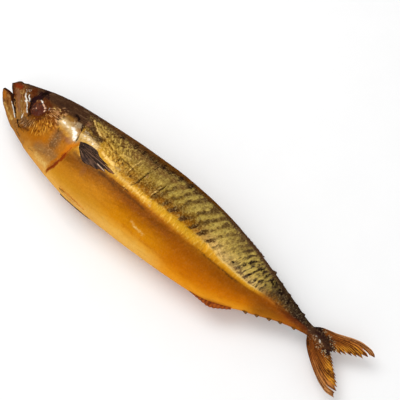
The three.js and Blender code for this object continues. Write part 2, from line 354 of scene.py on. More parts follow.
def trunk_relief(along, height):
    """Raised and sunk detail behind the gill cover: shoulder edge, lateral line, cracks, pleats and fold."""
    shoulder = 0.6 * stroke(along, height, SHOULDER_EDGE, 1.4)
    line = -0.16 * stroke(along, height, LATERAL_LINE[:8], 0.8)
    cracks = sum(-0.6 * stroke(along, height, points, 0.6) + 0.3 * stroke(along, height, points, 2.2)
                 for points in CRACKS)
    folds = sum(0.2 * stroke(along, height, points, 0.6) for points in PLEATS)
    below = height - gold_bottom(along)
    fold = 0.35 * np.exp(-((below - 4) / 4.5) ** 2) - 0.2 * np.exp(-((below + 3) / 3.6) ** 2)
    fold = fold * smooth_step(96, 125, along) * smooth_step(282, 240, along)
    pleats = 0.16 * flank_pleats(along, height)
    fine = 0.1 * ripples(along, height, 9, seed=8) + 0.05 * ripples(along, height, 3.2, seed=9)
    return shoulder + line + cracks + folds + fold + pleats + fine


# Colour layers up the flank behind the gills: the heights where one gives way to the next.
GOLD_BOTTOM = [
    [81, -10.5], [100, -9.4], [111, -7.8], [118, -7], [126, -7.2], [140.5, -7.9], [161.5, -9.2],
    [189, -10.4], [215, -9.4], [235, -8.2], [247, -6], [260, -4.4], [285, -2.2], [300, -2.6],
]
GOLD_TOP = [
    [81, 14], [93, 12], [104, 6], [118, -0.6], [133, -1.2], [161, -1.2], [189, -1.4], [203, -2.2],
    [212, -4.6], [235, -5.0], [246, -3.4], [256, -2.0], [266, -1.2], [285, -0.8], [300, -1.2],
]
BAND_EDGE = [
    [81, 23.4], [94, 22.4], [106, 22.4], [121, 21.6], [132, 21.8], [146, 22.4], [157, 23.6], [171, 23.4],
    [185, 23.1], [199, 21], [213, 18.3], [226, 16.1], [240, 11.5], [250, 8.3], [256.5, 5], [285, 1],
    [300, 0],
]
gold_bottom = curve_through(GOLD_BOTTOM)
gold_top = curve_through(GOLD_TOP)
band_edge = curve_through(BAND_EDGE)


def layer_rise(along, height):
    """Which colour layer a place is in: -1 at the belly's edge, 0 and 1 at the gold band's two edges,
    2 at the dark back's edge and 3 at the back, and in proportion between them."""
    limits = [belly(along), gold_bottom(along), gold_top(along), band_edge(along), back(along) + 1]
    rise = -1.0
    for low, high in zip(limits[:-1], limits[1:]):
        rise = rise + np.clip((height - low) / np.maximum(high - low, 0.2), 0, 1)
    return rise


# Where the dark stripes of the back start, how much they lean to the tail for a millimetre up, and how
# strong they are.
STRIPE_FEET = [
    151, 157.5, 165, 174.6, 183.5, 191, 198.4, 205.5, 211, 216, 220.6, 225.4, 229, 232.6, 236.8, 241,
    244.4, 249, 254, 259, 264, 269,
]
STRIPE_LEAN = [
    [146, 0.3], [157, 0.45], [165, 0.5], [175, 0.6], [191, 0.55], [205, 0.5], [220, 0.4], [226, 0.45],
    [235, 0.3], [245, 0.1], [270, 0.05],
]
STRIPE_STRENGTH = [[140, 0], [158, 0.9], [203, 0.95], [208, 0.5], [221, 0.5], [226, 1], [246, 1], [256, 0]]
# Stripes that are only counted on before the first foot and after the last: how many and how far apart.
BEFORE_STRIPES = {"count": 12, "spacing": 6.0}
AFTER_STRIPES = {"count": 8, "spacing": 5.0}
stripe_lean = curve_through(STRIPE_LEAN)
stripe_strength = curve_through(STRIPE_STRENGTH)


def stripe_phase(along, height):
    """A number that is whole on the middle of each dark stripe.

    The foot of the stripe through a place is found by taking off the lean times the height, three
    times over, and the number is read off between the feet on either side.
    """
    foot = along
    for _ in range(3):
        foot = along - stripe_lean(foot) * height
    first = STRIPE_FEET[0] - BEFORE_STRIPES["count"] * BEFORE_STRIPES["spacing"]
    last = STRIPE_FEET[-1] + AFTER_STRIPES["count"] * AFTER_STRIPES["spacing"]
    count = len(STRIPE_FEET)
    numbers = [-BEFORE_STRIPES["count"], *range(count), count - 1 + AFTER_STRIPES["count"]]
    return np.interp(foot, [first, *STRIPE_FEET, last], numbers)


def wavering(along, height):
    """Places shifted by up to half a millimetre in gentle waves, so that no mark has a ruled edge."""
    wide = [0.4 * ripples(along, height, 6, seed=seed) for seed in (41, 42)]
    fine = [0.22 * ripples(along, height, 2.6, seed=seed) for seed in (51, 52)]
    return along + wide[0] + fine[0], height + wide[1] + fine[1]


def marks(along, height, kind):
    """How strongly one kind of mark covers each place: the strongest of its lines and ovals."""
    cover = np.zeros(along.shape)
    for points, width, strength in LINES.get(kind, []):
        cover = np.maximum(cover, strength * stroke(along, height, points, width))
    for centre, radii, tilt, strength in OVALS.get(kind, []):
        cover = np.maximum(cover, strength * blot(along, height, centre, radii, tilt))
    return cover


# Marks by kind. Lines: places along and height, width, strength. Ovals: centre, radii, tilt, strength.
LINES = {
    "gold": [
        # The first gold line is a painted golden halo at the top of the gill cover's highlight.
        ([(58, 11), (63, 12), (67, 10.6)], 2.6, 0.4), ([(61, 2), (67, 1), (71, 0)], 2.4, 0.8),
        ([(83, -4.6), (86, -7.4)], 2.4, 0.5),
    ],
    "olive": [
        ([(20.6, 3), (24, -0.6), (28, -4.4), (31, -8)], 2.6, 0.7), ([(29, -6.6), (32.6, -6.4)], 2.6, 0.6),
        ([(66, 23.2), (72, 23), (77, 20.8)], 1.1, 0.55), ([(83, 22), (92, 19), (98, 17)], 2.8, 0.5),
    ],
    "grey": [
        ([(79, 9.6), (84, 9.2), (90, 8.6)], 1.7, 0.8),
        ([(96, 21), (112, 20), (122, 20), (134, 19), (150, 19.6), (160, 19)], 3.4, 0.5),
    ],
    "mauve": [([(64.6, -3), (65.6, -7), (66.2, -11.4)], 4.6, 0.85), ([(34, -8), (38.4, -9)], 4.2, 0.9)],
    "fawn": [
        ([(56, -17.4), (62, -17.6), (68, -17), (74, -18)], 4.2, 0.8),
        ([(26, -12.4), (31, -14.8), (37, -17.4), (43, -19.6)], 1.8, 0.6),
    ],
    # The pectoral fin's painted shadow on the flank under it.
    "shade": [([(84, -7), (88, -8.8), (94, -10), (104, -9.2), (113, -8)], 2.0, 0.8)],
    "brown": [
        ([(3, 17), (9, 18.6), (18, 20.2), (30, 21.6), (44, 23), (62, 25), (74, 26)], 4.6, 1.0),
        ([(16, 17.6), (24, 16.6), (34, 17.2), (46, 16.8), (58, 17.4), (70, 17)], 3.6, 1.0),
        ([(70, 17), (79, 15.4), (86, 12.6), (92, 11)], 3.0, 1.0), ([(1.4, 13.4), (3.4, 11.8)], 1.6, 0.8),
        ([(11, 17), (12.8, 14.6), (13, 12.6)], 1.8, 0.6), ([(44, 27.6), (60, 28)], 5.0, 1.0),
        ([(58, 24.6), (68, 25.4), (76, 25)], 3.6, 1.0),
        ([(60, 20.4), (68, 21), (75, 19), (80.6, 15.4), (86, 12.6)], 3.4, 1.0),
        ([(27, 10), (31, 4.6), (34, -1), (37, -3.6)], 2.2, 0.7), ([(46, 9), (42, 13)], 2.4, 0.6),
        ([(74, 13.4), (82, 12), (89, 10.6)], 1.6, 0.7), ([(79, 10.6), (86, 9.8), (93, 7.8)], 1.5, 0.75),
        ([(108, -8.2), (118, -8.8), (134, -9.6), (150, -10.4)], 1.2, 0.5),
        ([(287, 0), (294, -0.6), (306, -3)], 5.5, 1.0),
    ],
    "mottle": [
        ([(68, 11), (73, 10)], 2.6, 0.8), ([(79, 9), (82, 7), (87, 6), (93, 5)], 3.2, 0.9),
        ([(208, -1), (216, -2), (238, -2.6)], 2.0, 0.35),
        ([(60, 7), (66, 6), (72, 5), (76.4, 1.6)], 3.0, 0.55), ([(65, -6), (67, -18)], 4.0, 0.3),
        ([(256, 3), (270, 2), (284, 0)], 4.0, 0.2), ([(289, 3.8), (295, 3.8)], 1.6, 0.8),
        ([(290, -3), (297, -5)], 1.6, 0.8),
    ],
    # Painted highlights on the pectoral fin.
    "gleam": [
        ([(103.4, -4.7), (110.6, -5.8)], 0.35, 1.0), ([(100, -2), (108, -2.8), (113, -3.8)], 0.6, 0.5),
        ([(85.6, -2.4), (88.6, -5)], 0.4, 0.45), ([(85, 0.6), (88, -1.6)], 0.4, 0.5),
        ([(90, 0.6), (94, -0.6)], 0.4, 0.3),
    ],
    "rosy": [
        ([(71, -2.4), (75.4, -3.6)], 2.2, 0.55), ([(10.6, 8.4), (14, 7), (17, 4.4)], 2.0, 0.7),
        ([(18, 3), (22, -0.5), (26, -4)], 1.4, 0.7), ([(216, -3.4), (224, -3.2), (238, -4)], 1.1, 0.4),
    ],
    "orange": [
        ([(80, -2), (78, -5.6), (77.4, -9), (77.6, -12.4)], 2.6, 0.85),
        ([(77.4, -12.4), (75.8, -18), (73, -24)], 1.6, 0.8),
        ([(46, -14), (53, -14.4), (58, -11.6)], 3.6, 0.5), ([(1.5, 3), (6, 0)], 1.8, 0.6),
        ([(144, -26), (154, -26.6), (168, -26.9), (181.5, -27.2)], 1.2, 0.5),
        ([(80.2, 1), (81.4, -1.8)], 1.4, 0.8),
    ],
    # Painted highlights on the gill cover, the shoulder and the flank.
    "sheen": [
        ([(58.6, 6.8), (63, 6.2), (68, 5.4), (73, 4.2), (76.6, 1.4)], 3.9, 0.8),
        ([(79, 6.2), (84, 6.4), (89, 5.8), (93, 4.8)], 2.8, 0.85), ([(79, 1.4), (82, 2.4)], 1.6, 0.5),
        ([(104, 3), (110, 2), (118, 0.8)], 1.4, 0.45), ([(112, -1.6), (121, -2.8), (131, -3.2)], 1.8, 0.4),
    ],
    "ruddy": [
        ([(21, 16), (23.6, 13.6), (26, 10.6)], 3.0, 1.0),
        ([(2.4, 12.6), (5, 10), (8.6, 7), (13, 3.4)], 1.5, 0.9),
        ([(35.4, 13.4), (39, 12.4), (43, 11)], 1.8, 0.8),
        ([(45.4, 6), (45.6, 2), (44, -1.8), (41, -3.6)], 2.2, 1.0),
        ([(36, 13.6), (42, 11.6), (45, 8)], 2.0, 0.8), ([(258, -3), (270, -3.4), (282, -3)], 2.0, 0.6),
        ([(37, -12.6), (41.6, -12.2)], 1.6, 0.7), ([(48, 27.2), (57, 28)], 1.6, 0.4),
    ],
    "slit": [
        ([(79, -12), (78.4, -17), (76.4, -22), (73, -26.6)], 1.3, 1.0),
        ([(79.6, -6), (79.4, -9), (79, -12)], 0.5, 0.7),
    ],
    # Pale flecks, and painted highlights on the pleats, the shoulder's edge, the cracks' rims, the gold band
    # and the belly.
    "straw": [
        *[(points, 0.45, 0.6) for points in PLEATS], ([(189, -3), (194, -6), (198, -9)], 1.4, 0.3),
        ([(148, -21.8), (152, -22.8), (160.6, -23.8)], 1.2, 0.5),
        ([(132, -3), (141, -4.4), (150, -5)], 2.0, 0.5),
        ([(209, -4.2), (214, -4.9), (222, -5.1), (236, -5.1), (242, -4.6)], 0.6, 0.8),
        ([(83, -2), (86.6, -4.6), (90, -7.2)], 0.7, 0.7), (SHOULDER_EDGE[1:4], 0.6, 0.25),
        (SHOULDER_EDGE[3:], 0.8, 0.8), ([(83, 19), (88, 17), (94, 15)], 1.4, 0.5),
        ([(100, 4), (106, 2.6), (112, 1.6)], 1.4, 0.8), ([(97, 10), (103, 8)], 0.8, 0.5),
        ([(112, 12), (118, 12.6)], 1.6, 0.5), ([(13, 9), (17.4, 7.6)], 1.2, 0.4),
        ([(8, -3.4), (16, -7.4), (24, -11.6)], 1.4, 0.5), ([(58, -22), (64, -23.4), (70, -24)], 2.0, 0.6),
        ([(52, -20), (58, -18.4), (62, -18)], 1.6, 0.35), ([(124.4, 17), (124, 12), (123.6, 3)], 0.5, 0.8),
        ([(127.2, 15), (127, 11)], 0.4, 0.6), ([(148.8, 9), (148, 4), (147.4, 0)], 0.6, 0.7),
        ([(137.2, 21), (138.6, 19)], 1.0, 0.5), ([(46, 11.6), (48.6, 10.4)], 0.45, 0.7),
        ([(50.6, 12.8), (52.8, 11.4)], 0.5, 0.8), ([(54, 11.4), (56.4, 9.8)], 0.5, 0.7),
        ([(49.6, 8.8), (51.6, 7.4)], 0.4, 0.6),
    ],
    # Painted highlights on the jaw plate's ridges, the gill cover, the flank and over the eye.
    "cream": [
        (JAW_PLATE_RIDGE[1:3], 0.6, 0.7), (JAW_PLATE_RIDGE[2:5], 0.8, 1.0),
        (JAW_PLATE_RIDGE[4:8], 0.6, 0.75), (SECOND_RIDGE[1:4], 0.55, 0.8), (THIRD_RIDGE[2:], 0.4, 0.6),
        ([(16.4, 12.8), (17.8, 11.6)], 0.4, 0.6), ([(17.6, 14.2), (19, 12.8)], 0.45, 0.6),
        ([(18.8, 14.6), (20, 13.4)], 0.4, 0.5), ([(17.2, 11.8), (18.4, 11)], 0.4, 0.5),
        ([(21, 3.6), (22.4, 2.2)], 0.4, 0.4), ([(27.6, -3), (30, -6)], 0.35, 0.4),
        ([(60.4, 6.8), (63, 6.2), (66.4, 5.2)], 1.4, 0.65),
        ([(69.6, 6.6), (72.6, 5), (75, 2.8), (77, 0)], 1.9, 0.8),
        ([(149.8, -2), (150.6, -4.6), (152, -6.6)], 1.5, 0.3),
        ([(33.4, 11.6), (35.4, 10.4), (38, 9.4)], 0.6, 0.9), ([(40, 9), (41, 8.2)], 0.5, 0.8),
        ([(42.2, 7), (42.2, 5)], 0.5, 0.7), ([(43.6, 9.4), (44.6, 7.8)], 0.4, 0.6),
    ],
    "plum": [
        # The plum marks before and above the eye are painted shade under the brow; the line at the tail's
        # fork is the flesh's colour.
        ([(30.4, 20.6), (30.2, 16.4), (29.4, 12), (28.6, 8)], 3.2, 1.0),
        ([(288, 1), (296, 0.4), (303, -1.6)], 2.6, 0.6), ([(32, 17), (35.6, 16)], 2.2, 0.7),
        ([(30.4, 8.6), (30.6, 4.4)], 1.5, 0.7),
    ],
    "umber": [
        (LATERAL_LINE[:8], 0.75, 0.7), ([(94, 8.4), (100, 7.2), (106, 6.4)], 0.5, 0.45),
        ([(76, 19.6), (81, 16.6), (86, 13.2)], 1.2, 0.6),
        ([(118, -7.4), (127, -7.6), (134, -7.6)], 0.6, 0.8), ([(120, -10.4), (136, -11)], 1.3, 0.4),
        ([(196, -9.6), (212, -10.2), (229, -9.4)], 0.9, 0.6), (COVER_SEAM[1:], 0.6, 0.4),
        ([(111.8, 7.6), (112.6, 4)], 0.7, 0.8), ([(124.9, 6), (124.8, 1.2)], 0.5, 0.7),
        ([(61, 1), (63, -2)], 0.7, 0.6), ([(131, 14), (131, 3)], 0.8, 0.35),
        ([(141, 15), (140, 2)], 0.8, 0.4), ([(145, 12), (144.6, 1)], 0.9, 0.4), (CRACKS[0], 0.5, 0.5),
        # The short umber strokes here lie beside the jaw plate's ridges as painted shade between them.
        ([(20.8, 10.6), (22.6, 8.4), (25, 6.2)], 0.5, 1.0), ([(18.6, 12.4), (20, 11)], 0.4, 0.9),
        ([(17, 14), (18, 13)], 0.35, 0.8), ([(26.4, 4.4), (29, 2.2), (31.6, -0.6)], 0.4, 0.9),
        ([(18, 8.4), (20, 6.6)], 0.4, 0.7), ([(16, 6), (20, 3.4), (24, 0.6)], 0.35, 0.4),
        ([(23.4, -0.6), (27, -3.6), (29.6, -7)], 0.4, 0.5),
        ([(32, -12.6), (36, -13.6), (40, -14.6)], 0.5, 0.7),
        ([(29, -13.8), (34, -16.2), (40, -18.2)], 0.45, 0.6), ([(33, -6), (36, -7)], 0.5, 0.6),
    ],
    "dark": [
        # The dark lines in the groove behind the jaw plate's ridge, at the mouth's corner, along the lip and
        # down the gill cover's edge are painted shade.
        (RIDGE_GROOVE[1:5], 0.9, 0.85), ([(29.8, -10), (32, -12.2), (33.8, -13.6)], 0.6, 0.8),
        ([(0.5, 13), (5, 9), (9, 5.6), (13, 2.8), (18, -1), (23, -5.2), (27.5, -9)], 0.8, 0.8),
        ([(76.8, 4), (78.4, 0.6)], 0.7, 0.6), ([(63, 17), (66, 16.2), (68.4, 14.4)], 1.5, 0.8),
        ([(73, 16.4), (73, 12.6), (75.4, 9)], 0.9, 0.7), ([(9, 18.2), (20, 21), (31, 24.4)], 1.2, 0.6),
        ([(1, 13.6), (3, 16), (6.4, 18)], 0.8, 0.6), (CRACKS[1][2:5], 0.8, 0.85), (CRACKS[1], 0.55, 0.7),
        (CRACKS[2][1:], 0.65, 0.8), ([(225.4, 1.6), (227, 6), (230, 11)], 0.9, 0.75),
        ([(232.4, 0), (234, 5), (237, 10)], 0.95, 0.8), ([(241, 2.6), (241.6, 10)], 0.9, 0.75),
        ([(238.4, 8), (237, 11)], 1.2, 0.6), ([(258.4, 0.6), (259, 4.4)], 0.7, 0.6),
        ([(195, 23.4), (201, 21.4), (208, 19.6)], 0.7, 0.55),
        *[([(at, 26.4), (at + 0.6, 23)], 2.4, 0.6) for at in (100, 112, 120, 127, 131, 138, 145, 153, 162)],
    ],
}
OVALS = {
    # Painted highlights on the eye's top.
    "film": [
        ((38, 9.2), (2.2, 0.7), -25, 1.0), ((40.8, 8), (0.9, 1.0), 25, 1.0),
        ((42, 5.8), (0.6, 1.2), 0, 0.8), ((35.4, 4), (1.3, 0.6), -40, 0.55),
        ((33.6, 2.4), (0.5, 1.4), -20, 0.45), ((37.6, 0.6), (1.4, 0.5), -30, 0.35),
    ],
    "gold": [((53, -6), (4, 3), 0, 0.4)],
    # Painted shade under the brow.
    "plum": [((31.4, 13), (2.6, 3.8), 0, 1.0)],
    "ruddy": [((37.4, 5), (9.4, 8.8), 0, 1.0)],
    "gloom": [
        ((93.8, -6.6), (3.6, 2.4), -20, 1.0), ((87, 1.8), (6, 1.4), 0, 0.8),
        ((104, -6.8), (5, 1.2), -8, 0.7), ((86, -1), (2.4, 2), 0, 0.6), ((106, -0.6), (8, 0.6), -14, 0.9),
        ((106, -3.6), (5, 0.5), -14, 0.9),
    ],
    "grey": [((119.5, 17.4), (3.0, 2.8), 0, 0.9), ((64, 17), (3, 1.6), 0, 0.5)],
    "pewter": [
        ((71, 10.6), (3.4, 2.8), 0, 0.9), ((66.4, 9.8), (2.4, 1.4), 0, 0.5),
        ((80.4, 9.6), (2, 1.4), 0, 0.7), ((74.6, 3.4), (1.4, 1.8), 35, 0.6),
        ((85, 7.6), (6, 2.2), -8, 0.45),
    ],
    "rosy": [
        ((75.4, 16.6), (3.4, 3.0), -20, 0.6), ((98, -15), (3, 5), 0, 0.3),
        ((136, 9.4), (0.9, 1.6), 0, 0.7), ((108, 17.2), (1.3, 1.6), 0, 0.5),
    ],
    "red": [((8.8, 12.6), (5.2, 3.3), -8, 1.0)],
    # A painted highlight on the shoulder.
    "straw": [((81.6, 6.4), (2.0, 1.4), 0, 0.4)],
    # Painted highlights before the eye, on the shoulder and on the tail's root.
    "cream": [
        ((30.6, 13.4), (0.9, 0.45), -20, 0.6), ((29.8, 10.2), (0.45, 0.8), 0, 0.6),
        ((80.6, 7), (1.6, 1.1), 0, 0.7), ((85, 6.2), (1.5, 1.2), 20, 0.6),
        ((89.4, 5.4), (1.4, 0.9), -20, 0.6), ((292.6, 3.8), (1.5, 0.7), -20, 0.8),
        ((294.4, -3.4), (1.6, 0.7), -30, 0.6), ((290.6, -2.4), (1.2, 0.7), 0, 0.5),
        ((296.4, -6), (1.2, 0.6), -30, 0.6),
    ],
    "umber": [
        ((93.2, 16.6), (1.2, 1.6), 0, 0.8), ((99.6, 15.4), (2.2, 1.2), 0, 0.85),
        ((107.2, 17.4), (1.8, 1.4), 0, 0.75), ((111.8, 16.6), (1.2, 1.8), 0, 0.5),
        ((117, 6), (1.6, 1.1), -20, 0.7), ((120.4, 5.4), (0.9, 1.6), 0, 0.75),
        ((127, 2.2), (1.1, 1.8), 0, 0.65), ((142.6, 2), (1.6, 2.2), 0, 0.6),
        ((143.6, 8), (1.3, 3.0), 0, 0.45), ((129, 10), (1.6, 4.0), 0, 0.35),
        ((96.6, 19.4), (1.6, 1.2), 0, 0.5), ((87, 18.6), (2, 1.2), -30, 0.4),
        ((121, 7.6), (1.6, 0.8), -20, 0.7), ((83, 4.6), (1.0, 0.7), 0, 0.5),
        ((87.6, 7.6), (1.2, 0.6), 0, 0.5),
    ],
    "dark": [
        # The first two dark ovals are painted shade under the brow.
        ((31, 17.6), (2.6, 3.4), -10, 1.0), ((33.2, 13), (1.2, 1.8), 0, 0.7),
        ((248, 7.6), (3.6, 2.6), -25, 0.8), ((255, 5.4), (2.6, 2.6), -20, 0.8),
        ((219.5, -0.6), (1.3, 1.0), 0, 0.9), ((211, 0.8), (0.9, 0.8), 0, 0.5),
        ((237.4, -0.4), (1.0, 1.8), 0, 0.7), ((208.6, -2.8), (0.8, 0.7), 0, 0.4),
        ((224.6, -1.6), (0.7, 0.7), 0, 0.5), ((229.4, -2.6), (0.7, 0.7), 0, 0.4),
        ((262.6, 4), (1.6, 4), 0, 0.8), ((38.6, -1.6), (2.6, 0.8), 0, 0.4),
        ((35, -2.4), (1.6, 1.6), 0, 0.6),
    ],
}
# Wide marks fade out softly, and fine marks have broken edges.
SOFT_MARKS = [
    "red", "gold", "olive", "grey", "fawn", "mauve", "shade", "brown", "rosy", "orange", "pewter", "sheen",
    "ruddy", "slit",
]
FINE_MARKS = ["straw", "cream", "plum", "umber", "dark"]
# Where the skin is mottled with small light and dark spots, and the fins' dark places and their light places,
# which are painted highlights.
MOTTLE, GLEAM, GLOOM = "mottle", "gleam", "gloom"


# ---------------------------------------------------------------- meshes

def placed(points):
    """Millimetres along the fish to metres in the frame, where its ends meet the solid's box."""
    corner = np.array([cad_low.x, cad_high.y, 0.0])
    return (points - [FIRST_ALONG, HIGHEST_BACK, 0.0]) * MM + corner


def closed_faces(rows, columns):
    """Quads of a grid whose columns close on themselves, and the triangle fans that close its two ends."""
    row, column = np.meshgrid(np.arange(rows - 1), np.arange(columns), indexing="ij")
    after = (column + 1) % columns
    quads = np.stack([row * columns + column, (row + 1) * columns + column, (row + 1) * columns + after,
                      row * columns + after], -1).reshape(-1, 4)
    ring = np.arange(columns)
    turned = (ring + 1) % columns
    last = (rows - 1) * columns
    first_fan = np.stack([np.full(columns, rows * columns), ring, turned], -1)
    last_fan = np.stack([np.full(columns, rows * columns + 1), last + turned, last + ring], -1)
    return quads, np.concatenate([first_fan, last_fan])


def make_mesh(name, points, quads, fans):
    """A smooth mesh from points, quads and triangles."""
    mesh = bpy.data.meshes.new(name)
    mesh.vertices.add(len(points))
    mesh.vertices.foreach_set("co", points.ravel())
    mesh.loops.add(quads.size + fans.size)
    mesh.loops.foreach_set("vertex_index", np.concatenate([quads.ravel(), fans.ravel()]))
    sizes = np.concatenate([np.full(len(quads), 4), np.full(len(fans), 3)])
    mesh.polygons.add(len(sizes))
    mesh.polygons.foreach_set("loop_start", np.cumsum(sizes) - sizes)
    mesh.update(calc_edges=True)
    mesh.validate()
    mesh.shade_smooth()
    return mesh


def add_piece(name, grid, material, fields):
    """A closed piece from a grid of points whose columns go round, with smooth faces that point outwards.

    The signed volume, the sum over the triangles of the corners' box product, says which way they
    point, and they are turned round where it is negative. The fields are kept on the points.
    """
    rows, columns = grid.shape[:2]
    centres = np.stack([grid[0].mean(0), grid[-1].mean(0)])
    points = placed(np.concatenate([grid.reshape(-1, 3), centres]))
    quads, fans = closed_faces(rows, columns)
    triangles = np.concatenate([quads[:, :3], quads[:, [0, 2, 3]], fans])
    a, b, c = (points[triangles[:, k]] - points[0] for k in range(3))
    if np.einsum("ij,ij->", a, np.cross(b, c)) < 0:
        quads, fans = quads[:, ::-1], fans[:, ::-1]
    mesh = make_mesh(name, points, quads, fans)
    for key, values in fields.items():
        ends = [values[0].mean(), values[-1].mean()]
        layer = mesh.attributes.new(key, "FLOAT", "POINT")
        layer.data.foreach_set("value", np.concatenate([values.ravel(), ends]).astype(np.float32))
    piece = bpy.data.objects.new(name, mesh)
    bpy.context.scene.collection.objects.link(piece)
    mesh.materials.append(material)
    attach(piece, "root")
    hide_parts("fish")
    return piece


def skin_attributes(along, height, trunk, inside):
    """What the skin's material reads at each point: its place, its colour layer, stripes and marks, and
    whether it is on the trunk or lines the mouth."""
    rise = layer_rise(along, height)
    over_back = smooth_step(0.85, 1.05, rise) * smooth_step(2.2, 1.85, rise)
    feet = smooth_step(0.84, 1.0, rise) * smooth_step(1.34, 1.1, rise)
    fields = {
        "along": along,
        "height": height,
        "creases": chin_creases(along, height),
        "rise": rise,
        "phase": stripe_phase(along, height),
        "stripes": over_back * stripe_strength(along),
        "feet": feet * smooth_step(152, 163, along) * smooth_step(207, 200, along),
        "wrinkles": wrinkled(along, height),
        "pleats": flank_pleats(along, height),
        "trunk": trunk,
        "inside": inside,
    }
    place = wavering(along, height)
    for kind in [*SOFT_MARKS, *FINE_MARKS, MOTTLE]:
        fields[kind] = marks(*place, kind)
    return fields


# ---------------------------------------------------------------- body

LEFT_COLUMNS, RIGHT_COLUMNS, MOUTH_COLUMNS = 104, 56, 24
BODY_COLUMNS = LEFT_COLUMNS + MOUTH_COLUMNS + RIGHT_COLUMNS
HEAD_ROWS, FOLD_ROWS, TRUNK_ROWS = 176, 18, 314
# Half the angle under the belly that the mouth's columns span at the least.
BELLY_STRIP = 0.25
# Where the gill cover ends on the whole, and between which places the rows bend to follow its edge.
COVER_END = 75.0
BEND_START, BEND_END = 46.0, 123.0
# The most that the palate rises above the lips.
PALATE_RISE = 9
# The gill slit from the cover's crest, round its edge, in under it and out again: behind the edge, outwards.
GILL_FOLD = [
    (-1.5, 0.3), (-0.5, 0.36), (0.15, 0.2), (0.2, -0.05), (-0.2, -0.3), (-0.5, -0.5), (-0.1, -0.66),
    (0.6, -0.6), (1.6, -0.42), (3.0, -0.22),
]
# Over what distance the skin falls back to the plain body before the crest and behind the slit.
CREST_FALL, REAR_FALL = 12, 3.5
# How deep in the slit the head's colours end, and how far it has to gape for them to end there.
COLOUR_DEPTH, SHARP_OPENING = -0.3, 0.35


def body_angles(along):
    """The angle round the section for each column: down a flank to the lip, across, and up the other."""
    limit = np.minimum(flank_angle(along, lip_line(along)), math.pi - BELLY_STRIP)
    left = np.linspace(0, 1, LEFT_COLUMNS + 1)
    mouth = np.arange(1, MOUTH_COLUMNS) / MOUTH_COLUMNS
    right = np.linspace(-1, 0, RIGHT_COLUMNS + 1)[:-1]
    start, end = LEFT_COLUMNS + 1, LEFT_COLUMNS + MOUTH_COLUMNS
    far_limit = 2 * math.pi - limit
    angles = np.empty(along.shape)
    angles[:, :start] = left * limit[:, :start]
    angles[:, start:end] = (1 - mouth) * limit[:, start:end] + mouth * far_limit[:, start:end]
    angles[:, end:] = 2 * math.pi + right * limit[:, end:]
    return angles


def cover_edge():
    """Where the gill cover ends in each column, and how high: the edge's curve, taken until it settles."""
    edge = np.full((1, BODY_COLUMNS), COVER_END)
    for _ in range(5):
        edge = gill_edge(section_parts(edge, body_angles(edge))[0])
    return edge, section_parts(edge, body_angles(edge))[0]


def gill_opening(height):
    """How far the gill slit gapes at each height: steps that close it at its ends and behind the cheek."""
    opening = smooth_step(24, 12, height) * smooth_step(-30, -26, height)
    opening = opening * (1 - 0.8 * smooth_step(-14, -10, height) * smooth_step(2, -3, height))
    return opening * (1 - 0.5 * smooth_step(-10, -14, height) - 0.35 * smooth_step(3, 6, height))


def body_rows(edge, opening, path):
    """Places along the fish for the rows of the head, the gill fold and the trunk.

    Evenly spread rows are shifted with the cover's edge, less and less away from it. The fold's rows
    follow the slit's path as far as the slit gapes.
    """
    crest, rear = GILL_FOLD[0][0], GILL_FOLD[-1][0]
    head = np.linspace(HEAD_START, COVER_END + crest, HEAD_ROWS)[:, None]
    head = head + (edge - COVER_END) * smooth_step(BEND_START, COVER_END, head)
    trunk = np.linspace(COVER_END + rear, SECTIONS[-1][0], TRUNK_ROWS)[:, None]
    trunk = trunk + (edge - COVER_END) * smooth_step(BEND_END, COVER_END, trunk)
    even = np.linspace(crest, rear, FOLD_ROWS + 2)[1:-1, None]
    fold = edge + even * (1 - opening) + path[:, :1] * opening
    return head, fold, trunk


def gill_profile(rows, edge, path):
    """How far the skin stands out at the gills: the slit's profile, then an exponential on either side."""
    head, _, trunk = rows
    before = path[0, 1] * np.exp((head - edge - GILL_FOLD[0][0]) / CREST_FALL)
    behind = path[-1, 1] * np.exp(-(trunk - edge - GILL_FOLD[-1][0]) / REAR_FALL)
    return np.concatenate([before, np.repeat(path[:, 1:], BODY_COLUMNS, 1), behind])


def trunk_share(rows, edge, opening, path):
    """Zero on the head and one on the trunk: they part deep in the slit, and blend where it is closed."""
    head, _, trunk = rows
    sunk = np.repeat((path[:, 1:] < COLOUR_DEPTH).astype(float), BODY_COLUMNS, 1)
    parted = np.concatenate([np.zeros(head.shape), sunk, np.ones(trunk.shape)])
    blended = smooth_step(-6, 6, np.concatenate(rows) - edge)
    return np.where(opening > SHARP_OPENING, parted, blended)


def add_palate(grid, along):
    """The grid with a palate over the open mouth, and how far each point belongs to it.

    Between the lips the section's lower part gives way to a vault: the line from lip to lip, raised
    by a sine.
    """
    mouth = np.arange(1, MOUTH_COLUMNS) / MOUTH_COLUMNS
    across = np.concatenate([np.zeros(LEFT_COLUMNS + 1), mouth, np.ones(RIGHT_COLUMNS)])[None]
    palate = smooth_step(43, 33, along) * (across > 0) * (across < 1)
    first, last = grid[:, LEFT_COLUMNS:LEFT_COLUMNS + 1], grid[:, -RIGHT_COLUMNS:1 - RIGHT_COLUMNS]
    bend = cosine_share(across)[..., None]
    vault = first * (1 - bend) + last * bend
    rise = np.minimum(0.5 * (back(along) - lip_line(along)), PALATE_RISE)
    vault[..., 1] += rise * np.sin(math.pi * across) ** ARCH_POWER
    share = palate[..., None]
    return grid * (1 - share) + vault * share, palate


